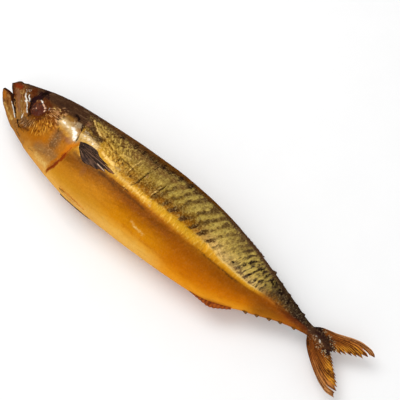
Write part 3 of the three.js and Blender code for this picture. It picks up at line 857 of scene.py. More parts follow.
def make_body(material):
    """Head and trunk in one skin, with the gill slit folded in and the palate over the open mouth.

    Rows run from the snout to the tail. Each point is the section's, moved out along its normal by
    the gills' profile and the relief, which fades where the section faces the back or the belly.
    """
    edge, edge_height = cover_edge()
    opening = gill_opening(edge_height)
    path = line_through(GILL_FOLD)(np.linspace(0, 1, FOLD_ROWS + 2)[1:-1])
    rows = body_rows(edge, opening, path)
    along = np.concatenate(rows)
    angle = body_angles(along)
    height, _, _, normal_side = section_parts(along, angle)
    relief = head_relief(along, height) * smooth_step(82, 60, along)
    relief = relief + trunk_relief(along, height) * smooth_step(58, 84, along)
    ends = smooth_step(0, 4, along) * smooth_step(304, 296, along)
    out = gill_profile(rows, edge, path) * opening + relief * np.abs(normal_side) * ends
    grid, palate = add_palate(skin(along, angle, out), along)
    fields = skin_attributes(along, height, trunk_share(rows, edge, opening, path), palate)
    return add_piece("body_skin", grid, material, fields)


# The lower jaw's rows, and its columns round the outside and across the mouth's floor.
JAW_ROWS, JAW_OUTER, JAW_FLOOR = 130, 100, 28


def jaw_attributes(along, height, inside):
    """The skin's fields on the lower jaw, with a pale lip, painted shade along its rim and a ruddy edge along
    its rim.
    """
    fields = skin_attributes(along, height, np.zeros(inside.shape), inside)
    below_rim = jaw_rim(along) - height - jaw_shelf(along)
    seen = 1 - inside
    lip_end = smooth_step(12, 16, along) * smooth_step(27, 25, along)
    fields["cream"] = 0.9 * np.exp(-((below_rim - 0.45) / 0.5) ** 2) * lip_end * seen
    # The dark band at the rim is painted shade where the jaws meet.
    fields["dark"] = 0.6 * smooth_step(0.3, -0.3, below_rim) * seen
    fields["ruddy"] = smooth_step(0.5, -0.1, below_rim) * seen
    return fields


def jaw_floor(along, outer):
    """The mouth's floor: the straight line from one rim of the jaw to the other, sunk by a sine."""
    across = np.arange(1, JAW_FLOOR) / JAW_FLOOR
    bend = cosine_share(across)[None, :, None]
    floor = outer[:, -1:] * (1 - bend) + outer[:, :1] * bend
    depth = 0.45 * np.clip(jaw_rim(along[:, :1]) - belly(along[:, :1]), 0, 12)
    floor[..., 1] -= depth * np.sin(math.pi * across) ** ARCH_POWER
    return floor


def make_lower_jaw(material):
    """The lower jaw: its outer skin from rim to rim under the chin, and the mouth's floor between the rims.

    The outer skin is the body section's lower part with a ridge for the lip, an exponential of the
    squared distance to it. It is drawn in a little above the lip and where the cheek covers it.
    """
    along = np.linspace(FIRST_ALONG, JAW_END, JAW_ROWS)[:, None] + np.zeros((1, JAW_OUTER + 1))
    limit = flank_angle(along, jaw_rim(along))
    share = np.linspace(0, 1, JAW_OUTER + 1)
    angle = limit * (1 - share) + (2 * math.pi - limit) * share
    height = section_parts(along, angle)[0]
    tucked = smooth_step(23, 28, along)
    below_rim = jaw_rim(along) - height
    shelf = jaw_shelf(along)
    lip = 0.35 * np.exp(-((below_rim - shelf - 0.5) / 0.7) ** 2) * smooth_step(9, 14, along) * (1 - tucked)
    inset = -0.7 * smooth_step(shelf + 0.4, shelf - 0.3, below_rim) * smooth_step(0, 4, along)
    out = lip + inset - 0.5 * tucked + 0.07 * ripples(along, height, 4, seed=12)
    outer = skin(along, angle, out)
    outer[..., 0] += JAW_SETBACK * smooth_step(7, FIRST_ALONG, along)
    floor = jaw_floor(along, outer)
    grid = np.concatenate([outer, floor], 1)
    inside = np.concatenate([np.zeros(outer.shape[:2]), np.ones(floor.shape[:2])], 1)
    return add_piece("lower_jaw", grid, material, jaw_attributes(grid[..., 0], grid[..., 1], inside))


def make_eye(name, side, material):
    """A collapsed eye: a lens over the socket, whose rings run from its front over its rim to its rear.

    A ring's reach is a sine, and how far it stands out is a power of the cosine.
    """
    rings, spokes = 36, 64
    turn = np.linspace(0, math.pi, rings)[1:-1, None]
    round_angle = np.linspace(0, 2 * math.pi, spokes, endpoint=False)[None]
    reach = EYE["dome"] * np.sin(turn)
    along = EYE["along"] + reach * np.cos(round_angle)
    height = EYE["height"] + reach * np.sin(round_angle)
    lens = np.sign(np.cos(turn)) * np.abs(np.cos(turn)) ** 1.4
    out = -0.9 + np.where(lens > 0, 0.8, 1.6) * lens + 0.2 * ripples(along, height, 4, seed=21)
    grid = skin(along, side * flank_angle(along, height), out)
    fields = {
        "across": (along - EYE["along"]) / EYE["radius"],
        "upward": (height - EYE["height"]) / EYE["radius"],
        # Where the eye's painted highlights and the painted shade under the brow lie.
        "film": marks(along, height, "film"),
        "plum": marks(*wavering(along, height), "plum"),
    }
    return add_piece(name, grid, material, fields)


# ---------------------------------------------------------------- fins

def slab_grid(place, columns, rows):
    """A thin closed plate as a grid whose columns go round: out over the upper face and back under the lower.

    place(u, v, side) gives the points of a face, with u along the plate's rows and v across them.
    """
    u = np.linspace(0, 1, columns)[:, None]
    v = np.linspace(0, 1, rows)[None]
    upper = place(u, v, 1.0)
    lower = place(u, v, -1.0)
    fields = [np.broadcast_to(value, (columns, rows)) for value in (u, v)]
    return (np.concatenate([upper, lower[:, ::-1]], 1),
            [np.concatenate([field, field[:, ::-1]], 1) for field in fields])


def fin_piece(name, place, size, material, **values):
    """A fin made as a slab of size columns by rows, with its u and v and other values as fields.

    A value is a number, or a function of u and v.
    """
    grid, (u, v) = slab_grid(place, *size)
    fields = {"ray": u, "reach": v}
    for key, value in values.items():
        fields[key] = np.full(u.shape, float(value)) if np.isscalar(value) else value(u, v)
    return add_piece(name, grid, material, fields)


def ray_ridge(u, rays):
    """The rounded ridge of each fin ray: the size of a sine, one where a ray runs and zero between two."""
    return np.abs(np.cos(math.pi * u * rays)) ** 0.7


# Where the two lobes meet in front and behind.
TAIL_ROOT = (290, -0.6)
TAIL_FORK = (304.8, -3.8)
# Lobes: the leading edge, the line of the tips, splits (place among the rays, depth and width), how far the
# painted highlight along the leading edge reaches, where the warm tint starts, and the slope, number and
# depth of the ragged ends.
UPPER_LOBE = {
    "lead": [
        (285, 2.4), (290, 5.8), (300, 8.8), (306, 11.2), (312, 13.5), (318, 14.7), (324, 14.5), (327.6, 13.2),
    ],
    "tips": [
        (327.6, 13.2), (328.8, 11.6), (325.8, 10.8), (325.6, 8.8), (322.6, 5.6), (317, 3.0), (311.4, -0.6),
        TAIL_FORK,
    ],
    "splits": [(0.19, 0.17, 0.011), (0.43, 0.06, 0.01), (0.62, 0.05, 0.01)],
    "bright": 0.15, "warm": 0.04, "slope": 0.1, "teeth": 9, "depth": 3.4, "seed": 4,
}
LOWER_LOBE = {
    "lead": [
        (285, -4), (287, -7.5), (290, -11), (297, -16.8), (305, -22.2), (312, -25.8), (318, -27.4),
        (323.4, -27),
    ],
    "tips": [
        (323.4, -27), (322.4, -26.2), (321.6, -24.6), (322.4, -22.6), (320.6, -19), (316.6, -14.8),
        (312, -10.2), (308.2, -6.8), TAIL_FORK,
    ],
    "splits": [(0.14, 0.18, 0.011), (0.4, 0.05, 0.01), (0.64, 0.05, 0.01)],
    "bright": 0.2, "warm": -0.12, "slope": 0.35, "teeth": 12, "depth": 3.0, "seed": 7,
}
LOBE_SIZE = (360, 70)
LOBE_RAYS = 15
# The tail's fleshy root covers the start of both lobes about this line.
FLESH_LINE = [(284, 0), (291, 0.8), (297, -0.6), (302.6, -3.4)]


def patch(first, last, start, end):
    """A surface between four lines, two of them over u and two over v: the sum of the two ruled
    surfaces less the one that is ruled both ways between the corners."""
    def place(u, v):
        u, v = u[..., None], v[..., None]
        across = first(v[..., 0]) * (1 - u) + last(v[..., 0]) * u
        along = start(u[..., 0]) * (1 - v) + end(u[..., 0]) * v
        low = start(np.zeros(1)) * (1 - u) + start(np.ones(1)) * u
        high = end(np.zeros(1)) * (1 - u) + end(np.ones(1)) * u
        return across + along - low * (1 - v) - high * v
    return place


def lobe_outline(lobe):
    """The flat place on a tail lobe for u over its rays and v out to its tips.

    It is a patch between the leading edge, the fork, the root and the tips. Splits shorten it by
    exponentials of u. The ragged ends are set back by the root of one less the size of a cosine, and by
    random amounts.
    """
    surface = patch(line_through(lobe["lead"]), line_through([TAIL_ROOT, TAIL_FORK]),
                    line_through([lobe["lead"][0], TAIL_ROOT]), line_through(lobe["tips"]))
    random = np.random.default_rng(lobe["seed"])
    teeth = lobe["teeth"]
    shorter = random.uniform(0.0, 1.0, teeth + 1)
    first_split = lobe["splits"][0][0]

    def reach_limit(u):
        return 1 - sum(depth * np.exp(-((u - at) / width) ** 2) for at, depth, width in lobe["splits"])

    def set_back(u):
        between = (1 - np.abs(np.cos(math.pi * u * teeth))) ** 0.5 * lobe["depth"]
        uneven = np.interp(u, np.arange(teeth + 1) / teeth, shorter)
        return (between + uneven) * smooth_step(first_split, first_split + 0.06, u)

    def flat_place(u, v):
        run = surface(u, np.ones_like(v)) - surface(u, np.full_like(v, 0.5))
        cut_back = np.minimum(set_back(u), 0.62 * run[..., 0]) * smooth_step(0.5, 1.0, v)
        return surface(u, v * reach_limit(u)) - cut_back[..., None] * [1, -lobe["slope"]]

    return flat_place


def lobe_fields(lobe, flat_place):
    """What a lobe's material reads: its fleshy root, its warm part, where it fades and the painted highlight
    along its leading edge.
    """
    def flesh(u, v):
        flat = flat_place(*np.broadcast_arrays(u, v))
        return stroke(flat[..., 0], flat[..., 1], FLESH_LINE, 6.0)

    def warm(u, v):
        return smooth_step(0.8, 0.35, v) * smooth_step(lobe["warm"], lobe["warm"] + 0.12, u)

    def fade(u, v):
        return smooth_step(0.14, 0.3, u) * smooth_step(0.55, 0.95, v)

    def bright(u, v):
        return np.exp(-(u / lobe["bright"]) ** 2) * smooth_step(0.15, 0.5, v)

    return {"flesh": flesh, "warm": warm, "fade": fade, "bright": bright}


def make_tail_lobe(name, lobe, material):
    """A tail lobe: its outline on the middle plane, gently waved, with a wedge's thickness and ridged rays.

    The wedge thins as a power of v, with an exponential bulge at the leading edge.
    """
    flat_place = lobe_outline(lobe)

    def place(u, v, side):
        u, v = np.broadcast_arrays(u, v)
        flat = flat_place(u, v)
        along = flat[..., 0]
        lead_bulge = 0.5 * np.exp(-(u / 0.1) ** 2)
        ridge = ray_ridge(u, LOBE_RAYS) * (0.2 + 0.25 * v) * smooth_step(1.0, 0.9, v)
        half = (1.35 - 1.0 * v ** 0.8 + lead_bulge * (1 - v)) * smooth_step(1.0, 0.93, v) ** 0.5 + 0.06
        wave = 0.5 * v * np.sin(2.4 * math.pi * u + 0.7)
        up = mid_plane(along) + wave + side * (half * 0.75 + ridge * 0.55)
        return np.stack([along, flat[..., 1], up], -1)

    return fin_piece(name, place, LOBE_SIZE, material, rays=LOBE_RAYS, **lobe_fields(lobe, flat_place))


# Finlet tips, above and below the tail's stem.
FINLET_TIPS = [
    (244.4, 17.3), (252.6, 13.7), (261.4, 10.8), (269.5, 8.1), (276.8, 6.1), (245.8, -19.1),
    (253.0, -16.1), (260.8, -12.8), (267.9, -9.8), (277.2, -7.0),
]
FINLET = {"root": 6.4, "sunk": 1.2, "half": 0.7, "thinnest": 0.08, "size": (28, 12), "rays": 4}


def make_finlet(name, tip, material):
    """A finlet: a small curved blade that grows as a power of its length towards its tip."""
    outward = np.sign(tip[1])
    edge = back if outward > 0 else belly

    def place(u, v, side):
        u, v = np.broadcast_arrays(u, v)
        along = tip[0] - FINLET["root"] + FINLET["root"] * u
        low = edge(along) - outward * FINLET["sunk"]
        rise = (1 - (1 - u) ** 1.7) * smooth_step(1.04, 0.86, u) ** 0.6
        height = low + (tip[1] - edge(tip[0]) + outward * FINLET["sunk"]) * v * rise
        half = FINLET["half"] * (1 - 0.6 * v ** 2) * smooth_step(1.02, 0.8, u) ** 0.5 + FINLET["thinnest"]
        return np.stack([along, height, mid_plane(along) + side * half], -1)

    return fin_piece(name, place, FINLET["size"], material, rays=FINLET["rays"])


# Fins in the middle plane: root, outer edge, half the thickness, rays and how deep the edge dips.
MID_FINS = {
    "first_dorsal_fin": {
        "root": [(84, 29.5), (105, 31), (128, 31.5)],
        "edge": [(84, 31.9), (105, 33.6), (129, 33.7)],
        "half": 0.9, "rays": 9, "ragged": 0.08,
    },
    "second_dorsal_fin": {
        "root": [(198, 25), (213, 22), (228, 18)],
        "edge": [(198, 27.5), (213, 25.0), (230.5, 20.9)],
        "half": 0.8, "rays": 10, "ragged": 0.12,
    },
    "anal_fin": {
        "root": [(207, -28), (221, -25), (234, -19.5)],
        "edge": [(206, -31.2), (214, -31.6), (221, -31.7), (225, -30.6), (229, -28.0), (235.6, -23.4)],
        "half": 0.6, "rays": 11, "ragged": 0.06,
    },
}
MID_FIN_SIZE = (150, 16)


def make_mid_fin(name, fin, material):
    """A folded fin in the mid-plane: ruled from its sunk root to its edge, which dips between the rays."""
    root, edge = line_through(fin["root"]), line_through(fin["edge"])

    def place(u, v, side):
        u, v = np.broadcast_arrays(u, v)
        dip = fin["ragged"] * (1 - np.abs(np.cos(math.pi * u * fin["rays"]))) * smooth_step(0, 0.15, u)
        share = (v * (1 - dip))[..., None]
        flat = root(u) * (1 - share) + edge(u) * share
        ridge = 0.18 * ray_ridge(u, fin["rays"]) * (1 - v)
        half = fin["half"] * (1 - 0.75 * v) + ridge
        return np.stack([flat[..., 0], flat[..., 1], mid_plane(flat[..., 0]) + side * half], -1)

    return fin_piece(name, place, MID_FIN_SIZE, material, rays=fin["rays"])


# Fins folded on a flank: root, the rest of the rim, rays and splits as on the tail's lobes.
SIDE_FINS = {
    "pectoral_fin": {
        "root": [(81.5, 1.5), (84, -3.0)],
        "edge": [
            (86, 3), (92, 3.5), (96.6, 3), (100, 1), (105, -0.2), (110, -0.9), (115, -2.2), (118.4, -3.6),
            (116.4, -5), (110, -6.9), (105, -8.2), (99, -9), (94.4, -9.6), (90.4, -8), (87, -5.4),
        ],
        "rays": 10, "splits": [(0.44, 0.16, 0.02), (0.56, 0.1, 0.02)],
    },
    "left_pelvic_fin": {
        "root": [(88, -29.6), (90, -30.6)],
        "edge": [
            (97, -30.8), (106, -31.5), (112, -31.9), (115, -32.2), (110, -32.5), (103, -32.2), (96, -31.6),
        ],
        "rays": 5, "splits": [],
    },
    "right_pelvic_fin": {
        "root": [(87, -29.4), (88, -30.4)],
        "edge": [
            (97, -29.6), (106, -30.4), (114, -31.4), (120, -32.5), (112, -32.75), (104, -32.4), (96, -31.8),
        ],
        "rays": 5, "splits": [],
    },
}
SIDE_FIN_SIZE = (180, 50)


def make_side_fin(name, fin, side_of_fish, material):
    """A fin folded on a flank: ruled from its root to its rim, laid over the skin and raised a little.

    The rim dips between the rays by one less the size of a cosine, and at the splits by exponentials.
    """
    start = line_through(fin["root"])
    rim = line_through([fin["root"][0], *fin["edge"], fin["root"][1]])

    def flat_place(u, v):
        share = v[..., None]
        return start(u) * (1 - share) + rim(u) * share

    def place(u, v, side):
        u, v = np.broadcast_arrays(u, v)
        between = 1 - np.abs(np.cos(math.pi * u * fin["rays"]))
        dip = 0.05 * between * smooth_step(0.25, 0.35, u) * smooth_step(0.9, 0.7, u)
        dip = dip + sum(depth * np.exp(-((u - at) / width) ** 2) for at, depth, width in fin["splits"])
        flat = flat_place(u, v * (1 - dip))
        middle = np.sqrt(np.clip(1 - (2 * u - 1) ** 6, 0, 1))
        proud = middle * (1.15 - 0.55 * v) * smooth_step(1.0, 0.94, v) ** 0.5
        ridge = 0.2 * ray_ridge(u, fin["rays"]) * smooth_step(1, 0.9, v)
        out = np.where(side > 0, 0.7 * proud + ridge - 0.15, -0.9)
        return skin(flat[..., 0], side_of_fish * flank_angle(flat[..., 0], flat[..., 1]), out)

    def fade(u, v):
        return smooth_step(14, 38, flat_place(u, v)[..., 0] - fin["root"][0][0])

    def marked_as(kind):
        return lambda u, v: marks(*np.moveaxis(flat_place(u, v), -1, 0), kind)

    return fin_piece(name, place, SIDE_FIN_SIZE, material, rays=fin["rays"], fade=fade,
                     gleam=marked_as(GLEAM), gloom=marked_as(GLOOM))


# ---------------------------------------------------------------- materials

def colour(red, green, blue):
    """A screen colour, 0 to 255, as the light values that a shader takes."""
    share = np.array([red, green, blue]) / 255
    light = np.where(share <= 0.04045, share / 12.92, ((share + 0.055) / 1.055) ** 2.4)
    return (*light.tolist(), 1.0)


class Socket:
    """An output of a node. Arithmetic on it adds Math nodes."""

    def __init__(self, shader, out):
        self.shader = shader
        self.out = out

    def math(self, operation, *values):
        """A Math node that takes this socket first."""
        return self.shader.add("ShaderNodeMath", {"operation": operation}, dict(enumerate((self, *values))))

    def __add__(self, other):
        return self.math("ADD", other)

    def __sub__(self, other):
        return self.math("SUBTRACT", other)

    def __mul__(self, other):
        return self.math("MULTIPLY", other)

    def __rsub__(self, other):
        return self.shader.add("ShaderNodeMath", {"operation": "SUBTRACT"}, {0: other, 1: self})

    __radd__ = __add__
    __rmul__ = __mul__

    def __pow__(self, power):
        return self.math("POWER", power)

    def highest(self, other):
        return self.math("MAXIMUM", other)

    def step(self, low, high):
        """Zero at low, one at high and smooth between them."""
        return self.shader.add("ShaderNodeMapRange", {"interpolation_type": "SMOOTHSTEP"},
                               {"Value": self, "From Min": low, "From Max": high})


class Shader:
    """A material that ends in one glossy surface."""

    def __init__(self, name, **constants):
        self.material = bpy.data.materials.new(name)
        self.material.use_nodes = True
        self.tree = self.material.node_tree
        self.surface = self.tree.nodes["Principled BSDF"]
        for key, value in constants.items():
            self.surface.inputs[key.replace("_", " ")].default_value = value
        self.place = self.add("ShaderNodeTexCoord", output="Object")

    def add(self, kind, settings=None, sockets=None, output=0):
        """A new node with its settings, and a value or a link for each of its inputs."""
        node = self.tree.nodes.new(kind)
        for key, value in (settings or {}).items():
            if key == "stops":
                self.set_stops(node.color_ramp, value)
            else:
                setattr(node, key, value)
        for key, value in (sockets or {}).items():
            self.plug(node.inputs[key], value)
        return Socket(self, node.outputs[output])

    def set_stops(self, ramp, stops):
        """Gives a ramp its stops, each a position and a colour."""
        while len(ramp.elements) < len(stops):
            ramp.elements.new(1.0)
        for element, (position, tint) in zip(ramp.elements, stops):
            element.position = position
            element.color = tint

    def plug(self, entry, value):
        """Links a socket to an input, or sets the input to a value."""
        if isinstance(value, Socket):
            self.tree.links.new(value.out, entry)
        else:
            entry.default_value = value

    def field(self, name):
        """A value kept on the piece's points."""
        return self.add("ShaderNodeAttribute", {"attribute_name": name}, output="Fac")

    def texture(self, vector, detail, roughness):
        """Cloudy noise over a vector whose unit is about one blob."""
        sockets = {"Vector": vector, "Scale": 1.0, "Detail": detail, "Roughness": roughness}
        return self.add("ShaderNodeTexNoise", {}, sockets)

    def noise(self, size, detail=3.0, roughness=0.55, stretch=(1, 1, 1), turn=0.0):
        """Cloudy noise with blobs about size millimetres across, longer where stretched, turned in plan."""
        scale = tuple(1 / (size * MM * part) for part in stretch)
        turned = self.add("ShaderNodeMapping", {}, {"Vector": self.place, "Rotation": (0, 0, turn)})
        vector = self.add("ShaderNodeMapping", {}, {"Vector": turned, "Scale": scale})
        return self.texture(vector, detail, roughness)

    def blend(self, share, first, second):
        """The first colour, giving way to the second as far as share says."""
        return self.add("ShaderNodeMix", {"data_type": "RGBA"}, {0: share, 6: first, 7: second}, output=2)

    def tint(self, share, base, factor_colour):
        """base multiplied by a colour, as far as share says."""
        return self.add("ShaderNodeMix", {"data_type": "RGBA", "blend_type": "MULTIPLY"},
                        {0: share, 6: base, 7: factor_colour}, output=2)

    def layers(self, position, stops):
        """Colours by position, from stops given on the same scale."""
        low, high = stops[0][0], stops[-1][0]
        share = (position - low) * (1 / (high - low))
        spread = [((at - low) / (high - low), colour(*tint)) for at, tint in stops]
        return self.add("ShaderNodeValToRGB", {"stops": spread}, {0: share})

    def speckle(self, base, area, noise, tints):
        """base with colours over an area where the noise is right: (from, to, strength, colour) each."""
        for start, end, strength, tint in tints:
            base = self.blend(area * noise.step(start, end) * strength, base, colour(*tint))
        return base

    def finish(self, base, roughness, bumps):
        """Joins up the surface. bumps are pairs of a height socket and its size in millimetres."""
        self.plug(self.surface.inputs["Base Color"], base)
        self.plug(self.surface.inputs["Roughness"], roughness)
        normal = None
        for height, size in bumps:
            sockets = {"Height": height, "Distance": size * MM, "Strength": 1.0}
            if normal is not None:
                sockets["Normal"] = normal
            normal = self.add("ShaderNodeBump", {}, sockets)
        self.plug(self.surface.inputs["Normal"], normal)
        return self.material


# Colours up the flank by layer, from the belly's edge to the back: amidships, forward, towards the tail,
# on the tail's stem and on its root. Then colours up the head by height, and those of each kind of mark.
# In these layers the light along the belly's edge is a painted reflection of the floor, and the dark brown
# band just under the gold band is painted shade below the flank's fold.
FLANK_COLOURS = [
    (-1.0, (238, 184, 88)), (-0.9, (238, 178, 72)), (-0.84, (234, 164, 50)), (-0.71, (218, 138, 10)),
    (-0.59, (204, 128, 8)), (-0.47, (186, 112, 4)), (-0.34, (156, 88, 4)), (-0.22, (124, 64, 4)),
    (-0.1, (124, 66, 4)), (0.0, (150, 84, 8)), (0.14, (180, 116, 18)), (0.36, (198, 142, 30)),
    (0.65, (198, 146, 26)), (0.9, (186, 132, 18)), (1.05, (146, 92, 10)), (1.14, (122, 80, 12)),
    (1.28, (124, 86, 20)), (1.4, (142, 106, 30)), (1.54, (168, 136, 56)), (1.7, (156, 126, 58)),
    (1.86, (120, 94, 46)), (2.0, (84, 58, 34)), (2.1, (66, 42, 24)), (2.4, (92, 54, 12)),
    (2.8, (108, 58, 4)), (3.0, (104, 56, 2)),
]
FORWARD_COLOURS = [
    (-1.0, (234, 180, 90)), (-0.9, (226, 162, 58)), (-0.76, (212, 144, 34)), (-0.6, (204, 132, 28)),
    (-0.47, (196, 126, 28)), (-0.33, (170, 104, 20)), (-0.2, (140, 82, 14)), (-0.1, (130, 74, 10)),
    (0.0, (130, 74, 14)), (0.2, (168, 112, 26)), (0.6, (196, 146, 44)), (0.95, (190, 140, 36)),
    (1.2, (174, 122, 32)), (1.45, (180, 138, 48)), (1.65, (148, 114, 48)), (1.85, (130, 98, 48)),
    (2.0, (80, 54, 34)), (2.4, (88, 54, 26)), (3.0, (112, 66, 20)),
]
REAR_COLOURS = [
    (-1.0, (238, 160, 40)), (-0.93, (232, 146, 20)), (-0.8, (208, 118, 2)), (-0.65, (188, 102, 0)),
    (-0.5, (174, 94, 2)), (-0.35, (158, 84, 2)), (-0.21, (148, 78, 4)), (-0.1, (146, 80, 6)),
    (0.0, (146, 84, 6)), (0.25, (196, 128, 12)), (0.7, (226, 164, 42)), (0.98, (240, 196, 108)),
    (1.12, (222, 184, 108)), (1.45, (218, 184, 92)), (1.65, (178, 148, 74)), (1.85, (128, 100, 52)),
    (2.0, (94, 68, 44)), (2.4, (84, 56, 36)), (3.0, (74, 46, 26)),
]
PEDUNCLE_COLOURS = [
    (-1.0, (178, 108, 22)), (-0.87, (160, 94, 14)), (-0.5, (140, 76, 10)), (-0.15, (140, 70, 4)),
    (0.4, (172, 98, 22)), (1.0, (146, 90, 32)), (1.26, (114, 76, 28)), (1.5, (92, 66, 34)),
    (1.83, (68, 50, 32)), (2.3, (60, 42, 28)), (3.0, (54, 36, 24)),
]
TAIL_COLOURS = [
    (-1.0, (168, 92, 20)), (-0.3, (136, 66, 16)), (0.1, (112, 50, 14)), (0.5, (76, 34, 16)),
    (0.9, (46, 25, 18)), (1.4, (45, 28, 21)), (3.0, (38, 25, 20)),
]
HEAD_COLOURS = [
    (-28, (232, 174, 90)), (-22, (210, 150, 68)), (-18, (188, 120, 38)), (-13, (166, 98, 16)),
    (-6, (164, 100, 20)), (0, (140, 78, 10)), (4, (126, 68, 12)), (9, (138, 90, 38)), (13, (100, 62, 28)),
    (17, (74, 48, 30)), (30, (78, 44, 18)),
]
MARK_COLOURS = {
    "gold": (192, 136, 44),
    "olive": (144, 106, 52),
    "grey": (128, 88, 42),
    "mauve": (118, 80, 44),
    "fawn": (156, 108, 58),
    # Painted shadow of the pectoral fin.
    "shade": (104, 62, 20),
    "brown": (68, 43, 29),
    "rosy": (142, 94, 66),
    "orange": (188, 106, 6),
    "pewter": (160, 136, 104),
    # Painted highlights.
    "sheen": (220, 188, 128),
    "ruddy": (84, 36, 12),
    "red": (130, 44, 14),
    "slit": (140, 52, 8),
    # Pale flecks, and painted highlights.
    "straw": (234, 192, 110),
    # The lower jaw's pale lip, and painted highlights.
    "cream": (246, 241, 228),
    # Painted shade under the brow, and the tail's dark flesh.
    "plum": (38, 18, 20),
    # Dark lines and spots, and painted shade between the jaw plate's ridges.
    "umber": (82, 50, 16),
    # Dark spots and stripes, and painted shade in grooves, at the lip, at the gill slit and under the brow.
    "dark": (26, 14, 11),
}


# The tint of the gloss on the skin, the eyes and the fins.
GOLDEN = colour(255, 205, 130)


class SkinShader(Shader):
    """The skin's material, with the fields and noises that its colours are mixed by."""

    def __init__(self):
        super().__init__("smoked_skin", Coat_Roughness=0.2, IOR=1.45, Specular_IOR_Level=0.0,
                         Specular_Tint=GOLDEN)
        self.along, self.height, self.trunk = (self.field(name) for name in ("along", "height", "trunk"))
        self.wrinkles, self.creases = self.field("wrinkles"), self.field("creases")
        self.right, self.up = self.along - EYE["along"], self.height - EYE["height"]
        self.cloud = self.noise(10)
        self.blotch = self.noise(3.2, detail=4)
        self.fleck = self.noise(1.2, roughness=0.65)
        self.streak = self.noise(2.4, stretch=(5, 1, 1))
        self.upright = self.noise(1.3, stretch=(1, 4, 3))
        self.pucker = self.puckers()
        self.layer = self.uneven_layer()
        self.wave = self.stripe_wave()
        self.netted = self.along.step(206, 226) * self.layer.step(0.85, 1.1) * self.layer.step(2.3, 1.9)
        self.over = self.trunk * self.layer.step(2.15, 2.5)

    def puckers(self):
        """Noise in spokes about the eye, which turn a little with the logarithm of the distance."""
        reach = (self.right * self.right + self.up * self.up) ** 0.5
        around = self.up.math("ARCTAN2", self.right) + reach.math("LOGARITHM", math.e) * 0.2
        spokes = self.add("ShaderNodeCombineXYZ", {}, {"X": around * 17.0, "Y": reach * 0.3})
        return self.texture(spokes, detail=1.5, roughness=0.5)

    def uneven_layer(self):
        """The layer up the flank, shifted by noise, and less so below the gold band."""
        rise = self.field("rise")
        uneven = (self.cloud - 0.5) * 0.2 + (self.blotch - 0.5) * 0.24 + (self.upright - 0.5) * 0.14
        return rise + uneven * (rise.step(-0.15, 0.15) * 0.6 + 0.4)

    def stripe_wave(self):
        """A cosine with its crests on the dark stripes, shifted by noise so that they waver."""
        ragged = (self.blotch - 0.5) * (self.along.step(205, 225) * 6 + 3.6)
        shift = ragged + (self.cloud - 0.5) * 5 + (self.upright - 0.5) * 2.5
        return (self.field("phase") * (2 * math.pi) + shift).math("COSINE")

    def flank_layers(self):
        """Colours up the flank, amidships, then forward of that and towards the tail, with a painted
        reflection along the belly's edge and painted shade in the brown band under the gold band.
        """
        rearward = self.along + self.layer.step(0.1, -0.2) * 18
        regions = [
            (self.along.step(140, 112), FORWARD_COLOURS),
            (rearward.step(182, 208), REAR_COLOURS),
            (self.along.step(238, 252), PEDUNCLE_COLOURS),
        ]
        flank = self.layers(self.layer, FLANK_COLOURS)
        for share, stops in regions:
            flank = self.blend(share, flank, self.layers(self.layer, stops))
        return flank

    def with_stripes(self, flank):
        """The flank with the back's pale gaps, dabs and dark stripes, and the stripes' feet."""
        along, layer, stripes = self.along, self.layer, self.field("stripes")
        gap = (self.wave * -1.0).step(-0.3, 0.9) * stripes * layer.step(1.15, 1.45)
        flank = self.blend(gap * (0.62 - along.step(226, 248) * 0.4), flank, colour(204, 180, 88))
        back = layer.step(0.95, 1.25) * layer.step(2.3, 1.9) * along.step(256, 244)
        dab = self.blotch * 0.5 + self.upright * 0.5
        flank = self.speckle(flank, back, dab, [(0.5, 0.62, 0.5, (88, 62, 30))])
        flank = self.speckle(flank, back * layer.step(1.15, 1.4), dab, [(0.48, 0.38, 0.5, (214, 186, 92))])
        stripe = self.wave.step(-0.2, 0.95) * stripes * (self.blotch.step(0.38, 0.58) * 0.75 + 0.25)
        dark_stripe = self.blend(along.step(200, 230), colour(88, 64, 30), colour(56, 42, 33))
        flank = self.blend(stripe, flank, dark_stripe)
        return self.blend(self.wave.step(-0.2, 0.7) * self.field("feet") * 0.95, flank, colour(72, 42, 14))

    def with_grain(self, flank):
        """The flank with the tail's flesh, strokes in the gold band whose light ones are painted glints, the
        rear's fine net, and painted light and shade on the pleats.
        """
        along, layer = self.along, self.layer
        flank = self.blend(along.step(258, 272), flank, self.layers(layer, TAIL_COLOURS))
        band = layer.step(0.05, 0.25) * layer.step(1.1, 0.9) * along.step(100, 118) * along.step(246, 236)
        # The light strokes in the gold band are painted glints.
        strokes = [(0.52, 0.68, 0.3, (246, 210, 112)), (0.48, 0.34, 0.3, (164, 106, 20))]
        flank = self.speckle(flank, band, self.upright, strokes)
        wisps = self.noise(1.35, stretch=(1, 5, 3), turn=0.3)
        flank = self.speckle(flank, self.netted, wisps, [(0.5, 0.6, 0.72, (68, 51, 36))])
        light_net = self.netted * along.step(256, 230)
        flank = self.speckle(flank, light_net, wisps, [(0.46, 0.36, 0.4, (214, 188, 104))])
        far_stripe = self.over * self.wave.step(0.1, 0.8) * along.step(280, 262)
        flank = self.blend(far_stripe * 0.5, flank, colour(62, 38, 18))
        # Painted light on the pleats' crests and painted shade in their troughs.
        pleat = self.field("pleats") + (self.fleck - 0.5) * 0.8
        flank = self.blend(pleat.step(0.1, 0.8) * 0.3, flank, colour(236, 190, 92))
        return self.blend((pleat * -1.0).step(0.1, 0.8) * 0.3, flank, colour(104, 66, 18))

